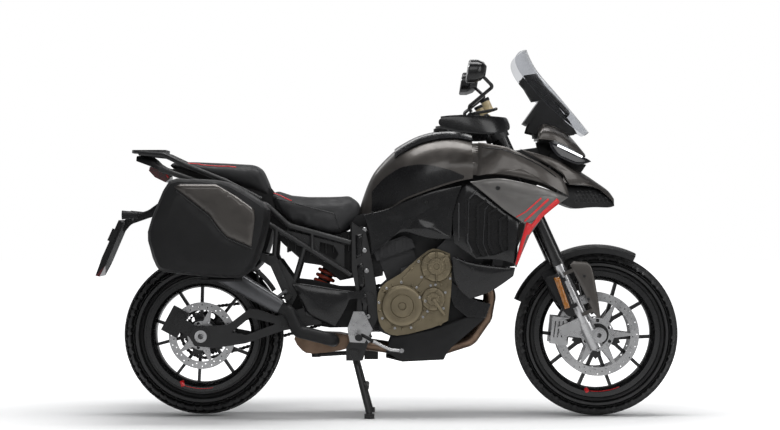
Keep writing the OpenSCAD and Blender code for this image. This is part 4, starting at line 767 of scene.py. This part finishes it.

# %% [markdown]
# Between the seats and the engine the photograph shows dark mouldings behind the frame tubes: a ribbed panel
# under the rider, side covers below the pillion and liners behind the fairing's joints. They are thin plates
# with rounded edges, set inside the tubes and panels that the frame already has. Each row gives the plate's
# inner and outer distance from the middle, its finish, its rounding and its outline.
# The liners behind the fairing's joints are also painted shade: dark sheets that make those gaps read as
# shaded.

# %% Dark mouldings behind the tubes
MOULDINGS = {
    "knee_back": (84, 90, "black_plastic", 2.0, [
        (-150, 790), (-60, 816), (-20, 806), (-20, 560), (-90, 545), (-150, 560)]),
    "sump_back": (100, 106, "black_plastic", 2.0, [
        (190, 560), (300, 520), (372, 440), (330, 384), (240, 362), (190, 380)]),
    "nose_liner": (40, 46, "black_plastic", 2.0, [
        (592, 1092), (640, 1084), (716, 1020), (790, 1000), (764, 962), (690, 966), (610, 1010)]),
    "lower_blade": (146, 152, "gloss_black", 2.5, [
        (252, 540), (300, 500), (352, 462), (405, 451), (384, 397), (313, 397), (262, 440), (236, 500)]),
    "engine_back": (62, 68, "frame_metal", 2.0, [
        (-70, 740), (110, 735), (250, 715), (335, 690), (345, 600), (250, 600), (150, 640), (-60, 560)]),
    "dash_side": (58, 64, "black_plastic", 3.0, [
        (548, 1128), (560, 1168), (606, 1262), (640, 1282), (664, 1246), (722, 1172), (752, 1122),
        (640, 1104)]),
    "under_seat": (74, 80, "black_plastic", 2.0, [
        (-452, 846), (-385, 775), (-239, 725), (-150, 735), (-96, 770), (-92, 560), (-190, 540), (-262, 600),
        (-330, 610), (-420, 690), (-470, 760)]),
    "tail_side": (92, 97, "black_plastic", 2.0, [
        (-880, 978), (-800, 990), (-640, 972), (-500, 945), (-448, 880), (-446, 800), (-480, 800), (-560, 862),
        (-700, 925), (-860, 958)]),
    # Partly painted shade: a liner and a dark sheet behind the fairing's joints, so the gaps between panels
    # read as shaded.
    "fairing_liner_shade": (128, 132, "black_plastic", 2.0, [
        (318, 1080), (366, 1080), (520, 1010), (610, 950), (560, 880), (520, 830), (510, 640), (500, 598),
        (380, 588), (330, 640), (318, 900)]),
}
PIVOT_COVER = [(-440, 560), (-300, 545), (-190, 520), (-40, 520), (20, 430), (20, 358), (-229, 354),
               (-348, 372), (-396, 430)]


def plate(name, outline, y0, y1, material, edge):
    bm = bmesh.new()
    face = bm.faces.new([bm.verts.new((x * MM, y0 * MM, z * MM)) for x, z in outline])
    moved = bmesh.ops.extrude_face_region(bm, geom=[face])
    bmesh.ops.translate(bm, vec=(0, (y1 - y0) * MM, 0), verts=[v for v in moved["geom"] if hasattr(v, "co")])
    bmesh.ops.recalc_face_normals(bm, faces=bm.faces)
    obj = add_object(name, mesh_of(name, bm), "chassis", material)
    bevel = obj.modifiers.new("edge", "BEVEL")
    bevel.width = edge * MM
    bevel.segments = 2


plate("pivot_cover", PIVOT_COVER, -92, -86, "black_plastic", 3.0)
for name, (y0, y1, material, edge, outline) in MOULDINGS.items():
    for word, side in SIDES.items():
        plate(f"{name}_{word}", outline, side * y0, side * y1, material, edge)
print("mouldings", 2 * len(MOULDINGS) + 1)

# %% [markdown]
# Two details break up those dark areas on the real machine. Upright ribs stiffen the panel under the seat, and
# the frame's pivot plates have cast pockets. Darker gloss patches paint the shade inside those pockets.

# %% Seat ribs and painted shade in the frame pockets
RIBS, RIB_FROM, RIB_PITCH, RIB_WIDTH = 9, -400, 30, 9
# Outlines of the painted shade inside the cast pockets of the pivot plates.
POCKET_SHADES = [[(-128, 720), (-100, 726), (-104, 640), (-126, 628)],
           [(-122, 600), (-98, 612), (-90, 520), (-112, 500)],
           [(-108, 480), (-84, 490), (-76, 400), (-96, 392)]]
for word, side in SIDES.items():
    for i in range(RIBS):
        x = RIB_FROM + RIB_PITCH * i
        low, high = 640 + 0.12 * abs(x + 300), 722 + max(0, -300 - x) * 0.5
        rib = [(x, low), (x + RIB_WIDTH, low), (x + RIB_WIDTH, high), (x, high)]
        plate(f"seat_rib_{word}_{i}", rib, side * 80, side * 86, "gloss_black", 1.2)
    for i, pocket_shade in enumerate(POCKET_SHADES):
        patch(f"frame_pocket_shade_{word}_{i}", "main_frame", pocket_shade, "gloss_black", word, 0.5, 0.8, 12)
print("ribs", 2 * RIBS, "pockets", 2 * len(POCKET_SHADES))

# %% [markdown]
# The engine's covers are castings with short ribs around each bolted joint and webs between them. They are
# ribbons again, a little thicker, that run out from the middle of each cover.

# %% Ribs on the engine covers
CLUTCH, CAM, PUMP = (56, 443), (190, 598), (178, 470)
COVER_RIBS = {"clutch": (CLUTCH, 84, 96, 14, 7), "cam": (CAM, 20, 60, 10, 5), "pump": (PUMP, 16, 44, 8, 4)}
WEBS = [[(56, 548), (140, 640)], [(120, 520), (150, 560)], [(212, 520), (206, 536)]]


def at_angle(centre, r, degrees):
    return (centre[0] + r * math.cos(math.radians(degrees)), centre[1] + r * math.sin(math.radians(degrees)))


def round_places(centre, r, count, start=0):
    return [at_angle(centre, r, 360 * (k + start) / count) for k in range(count)]


for cover, (centre, r0, r1, count, width) in COVER_RIBS.items():
    for k, line in enumerate(zip(round_places(centre, r0, count, 0.5), round_places(centre, r1, count, 0.5))):
        ribbon_pair(f"{cover}_rib", "engine_covers", line, (width, width - 1), "cover_bronze", 1.6, 4, f"_{k}")
for i, line in enumerate(WEBS):
    ribbon_pair("web", "engine_covers", line, (6, 5), "cover_bronze", 1.8, 4, f"_{i}")
print("cover ribs", 2 * sum(row[3] for row in COVER_RIBS.values()), "webs", 2 * len(WEBS))

# %% [markdown]
# Bolt heads are small turned shapes with a round recess. Each is set where a ray from the side meets the part,
# square to the surface there, and all the heads on one part are one mesh. Places where the surface turns away
# from the side get none.

# %% Bolt heads
HEAD_AROUND, HEAD_SPLIT = 18, 40
FACING = 0.6
FRONT_AXLE, REAR_AXLE = (832, 326), (-735, 323)
COVER_BOLTS = round_places(CLUTCH, 92, 9, 0.3) + round_places(CAM, 72, 7, 0.2) + round_places(PUMP, 54, 5, 0.4)
PLATE_BOLTS = [(-92, 742), (-92, 660), (-84, 580), (-78, 400), (-92, 372)]


def square_to(place, normal):
    turn = normal.to_track_quat("Z", "Y").to_matrix().to_4x4()
    turn.translation = place
    return turn


def ring_at(bm, turn, r, height, count):
    flat = [(r * math.cos(math.tau * k / count), r * math.sin(math.tau * k / count)) for k in range(count)]
    return [bm.verts.new(turn @ Vector((x * MM, y * MM, height * MM))) for x, y in flat]


def bridge(bm, a, b):
    for k in range(len(a)):
        n = (k + 1) % len(a)
        bm.faces.new((a[k], a[n], b[n], b[k]))


def side_bolts(name, node, points, r, material):
    hits = [cast(node, word, x, z) for word in SIDES for x, z in points]
    hits = [hit for hit in hits if hit and abs(hit[1].y) > FACING]
    bm = bmesh.new()
    for hit in hits:
        turn = square_to(*hit)
        profile = [(r, -1.0), (r, 0.55 * r), (0.86 * r, 0.7 * r), (0.5 * r, 0.7 * r), (0.5 * r, 0.1 * r)]
        rings = [ring_at(bm, turn, radius, height, HEAD_AROUND) for radius, height in profile]
        for a, b in zip(rings, rings[1:]):
            bridge(bm, a, b)
        bm.faces.new(rings[-1])
    mesh = mesh_of(name, bm)
    smooth_faces(mesh)
    split_edges(add_object(name, mesh, body_of[node], material), HEAD_SPLIT)
    print(name, len(hits))


side_bolts("cover_bolts", "engine_covers", COVER_BOLTS, 5.5, "steel")
side_bolts("plate_bolts", "main_frame", PLATE_BOLTS, 9, "aluminium")
side_bolts("cover_screws", "frame_covers", [(150, 850), (-60, 806), (300, 846)], 6, "frame_metal")
side_bolts("lower_screws", "lower_cowl", [(478, 600), (330, 588)], 7, "frame_metal")
side_bolts("wing_bolts", "wing_panels", [(428, 905)], 9, "frame_metal")
side_bolts("guard_bolts", "fork_guards", [(772, 560), (790, 470)], 6, "frame_metal")
side_bolts("front_disc_bolts", "front_discs", round_places(FRONT_AXLE, 62, 8), 6, "aluminium")
side_bolts("rear_disc_bolts", "rear_disc", round_places(REAR_AXLE, 52, 6), 6, "aluminium")

# %% [markdown]
# Each rim carries a short red slash and a thin red arc at its lip, and dark ribbons on the callipers paint the
# shade in the slots between their fins. All of them are ribbons, so the marks turn with the wheels and the
# painted slot shade with the steering.

# %% Rim marks and painted shade in calliper slots
RIM_MARKS = {"front_rim": (FRONT_AXLE, 225, -101), "rear_rim": (REAR_AXLE, 209, -113)}
ARC_STEPS = 16
SLOTS, SLOT_PITCH = 3, 15
for node, (axle, lip, turn) in RIM_MARKS.items():
    slash = [at_angle(axle, lip - 9, turn - 2), at_angle(axle, lip + 9, turn + 2)]
    arc = [at_angle(axle, lip + 3, turn + 4 + 30 * k / ARC_STEPS) for k in range(ARC_STEPS + 1)]
    ribbon_pair(f"{node}_slash", node, slash, (15, 15), "red_stripe", 0.5, 3)
    ribbon_pair(f"{node}_arc", node, arc, (2, 2), "red_stripe", 0.4)
# Dark ribbons across the front callipers: painted shade in the slots between the fins.
for i in range(SLOTS):
    slot_shade = [(664 + SLOT_PITCH * i, 380), (656 + SLOT_PITCH * i, 316)]
    ribbon_pair("caliper_slot_shade", "front_calipers", slot_shade, (4, 4), "gloss_black", 0.4, number=f"_{i}")
print("rim marks", 4 * len(RIM_MARKS), "slots", 2 * SLOTS)

# %% [markdown]
# The mirrors have silvered glass, the fork guards amber reflectors and the instrument a dark display. They are
# patches: the glass and the display are cast from behind, where the rider sits, the reflectors from the side.

# %% Glasses and reflectors
GLASS_MIDDLE, GLASS_HALF, GLASS_AROUND = (412, 1349), (62, 35), 28
REFLECTOR = [(652, 552), (674, 556), (716, 436), (696, 430)]
DISPLAY = [(-78, 1176), (78, 1176), (78, 1246), (-78, 1246)]
for word, side in SIDES.items():
    angles = [math.tau * k / GLASS_AROUND for k in range(GLASS_AROUND)]
    middle = (side * GLASS_MIDDLE[0], GLASS_MIDDLE[1])
    glass = [(middle[0] + GLASS_HALF[0] * math.cos(a), middle[1] + GLASS_HALF[1] * math.sin(a)) for a in angles]
    patch("mirror_glass_" + word, "mirrors", glass, "mirror_glass", "back", 0.6, 1.0, 8)
    patch("leg_reflector_" + word, "fork_guards", REFLECTOR, "amber", word, 3.0, 4.0, 8)
patch("display", "instrument", DISPLAY, "display_glass", "back")

# %% [markdown]
# On the real machine the tank's paint runs on into the fairing. A narrow painted strip closes the joint: its
# rows run from a point cast on the tank to one cast on the fairing, both just below the surface.

# %% Strip between tank and fairing
TANK_EDGE, FAIRING_EDGE = 328, 362
JOINT_DEPTH, JOINT_THICK = 0.0015, 0.002
for word in SIDES:
    rows = [(cast("fuel_tank", word, TANK_EDGE, z), cast("upper_fairing", word, FAIRING_EDGE, z))
            for z in range(950, 1092, 7)]
    verts = [place - normal * JOINT_DEPTH for row in rows if all(row) for place, normal in row]
    faces = [(i, i + 1, i + 3, i + 2) for i in range(0, len(verts) - 2, 2)]
    name = f"tank_joint_{word}"
    joint = add_object(name, mesh_from(name, verts, faces, smooth=False), "chassis", "paint")
    joint.modifiers.new("thick", "SOLIDIFY").thickness = JOINT_THICK
    print(name, len(faces), "faces")

# %% [markdown]
# Beside the lamps the inner cowl has a mesh of hexagons. Each cell is a ring of six sloped faces set square to
# the cowl, and all of them are one piece. Cells that would fall off the cowl or face away are left out.

# %% Hexagon mesh
MESH_FROM, MESH_ROWS, MESH_COLUMNS = (742, 856), 4, 9
CELL_WIDE, CELL_HIGH = 17, 14
CELL_OUTER, CELL_INNER = (8.2, 0.4), (6.0, 1.2)
CELL_LIFT = 0.0006
CELL_FACING = 0.3
bm = bmesh.new()
for word in SIDES:
    for row in range(MESH_ROWS):
        for column in range(MESH_COLUMNS):
            u = MESH_FROM[0] + CELL_WIDE * column + CELL_WIDE / 2 * (row % 2)
            hit = cast("inner_cowl", word, u, MESH_FROM[1] + CELL_HIGH * row)
            if hit and abs(hit[1].y) > CELL_FACING:
                turn = square_to(hit[0] + hit[1] * CELL_LIFT, hit[1])
                bridge(bm, ring_at(bm, turn, *CELL_OUTER, 6), ring_at(bm, turn, *CELL_INNER, 6))
mesh = mesh_of("jaw_mesh", bm)
add_object("jaw_mesh", mesh, "chassis", "frame_metal")
print("hexagons", len(mesh.polygons) // 6)

# %% [markdown]
# Light catches the front edges of the louvres, and a dark groove runs along the fairing's shoulder. Both are
# too thin to model as panels, so they are narrow ribbons on the panels. The louvre ribbons are lighter grey,
# a painted highlight along each lit edge.

# %% Louvre highlights and shoulder grooves
# Lines of the painted highlights on the louvres' front edges.
LOUVRE_HIGHLIGHTS = [[(277, 847), (277, 700)], [(350, 900), (316, 862), (312, 690), (330, 650)],
                [(420, 866), (380, 822), (372, 690), (392, 640)]]
SHOULDER = [(372, 1066), (452, 1056), (520, 1032), (600, 992), (660, 948)]
for i, line in enumerate(LOUVRE_HIGHLIGHTS):
    ribbon_pair("louvre_highlight", "vent_panels", line, (5, 5), "highlight_grey", 1.5, number=f"_{i}")
ribbon_pair("shoulder_groove", "upper_fairing", SHOULDER, (4, 3), "gloss_black", 0.4)
print("louvre edges", 2 * len(LOUVRE_HIGHLIGHTS))

# %% [markdown]
# Red piping edges the pillion's cushion and the step behind the rider. It is a thin cord sewn into the cover,
# so it is a small tube along the crest that rays from above find. A pressed seam runs down the rider's flank.

# %% Piping and seams
CORD_R, CORD_AROUND = 2.2, 8
PIPING = {
    "pillion": ([(-800, 98), (-752, 104), (-680, 107), (-600, 108)], 8),
    "rider": ([(-452, 88), (-430, 100), (-380, 112)], 6),
}
RIDER_SEAM = [(-446, 866), (-330, 836), (-213, 806), (-192, 745)]


def tube(name, path, r, body, material):
    verts = []
    for i, p in enumerate(path):
        t = (path[min(i + 1, len(path) - 1)] - path[max(i - 1, 0)]).normalized()
        u = t.orthogonal().normalized() if i == 0 else (u - u.dot(t) * t).normalized()
        v = t.cross(u)
        for k in range(CORD_AROUND):
            c, q = math.cos(math.tau * k / CORD_AROUND), math.sin(math.tau * k / CORD_AROUND)
            verts.append(p + (u * c + v * q) * r * MM)
    add_object(name, mesh_from(name, verts, barrel_faces(len(path), CORD_AROUND)), body, material)


for seat, (line, step) in PIPING.items():
    for word, side in SIDES.items():
        crest = [cast(seat + "_seat", "top", x, side * y) for x, y in steps_along(line, step)]
        tube(f"{seat}_piping_{word}", [hit[0] for hit in crest if hit], CORD_R, "chassis", "red_stripe")
ribbon_pair("rider_seam", "rider_seat", RIDER_SEAM, (3, 3), "gloss_black")
print("piping", 2 * len(PIPING), "seams", 2)
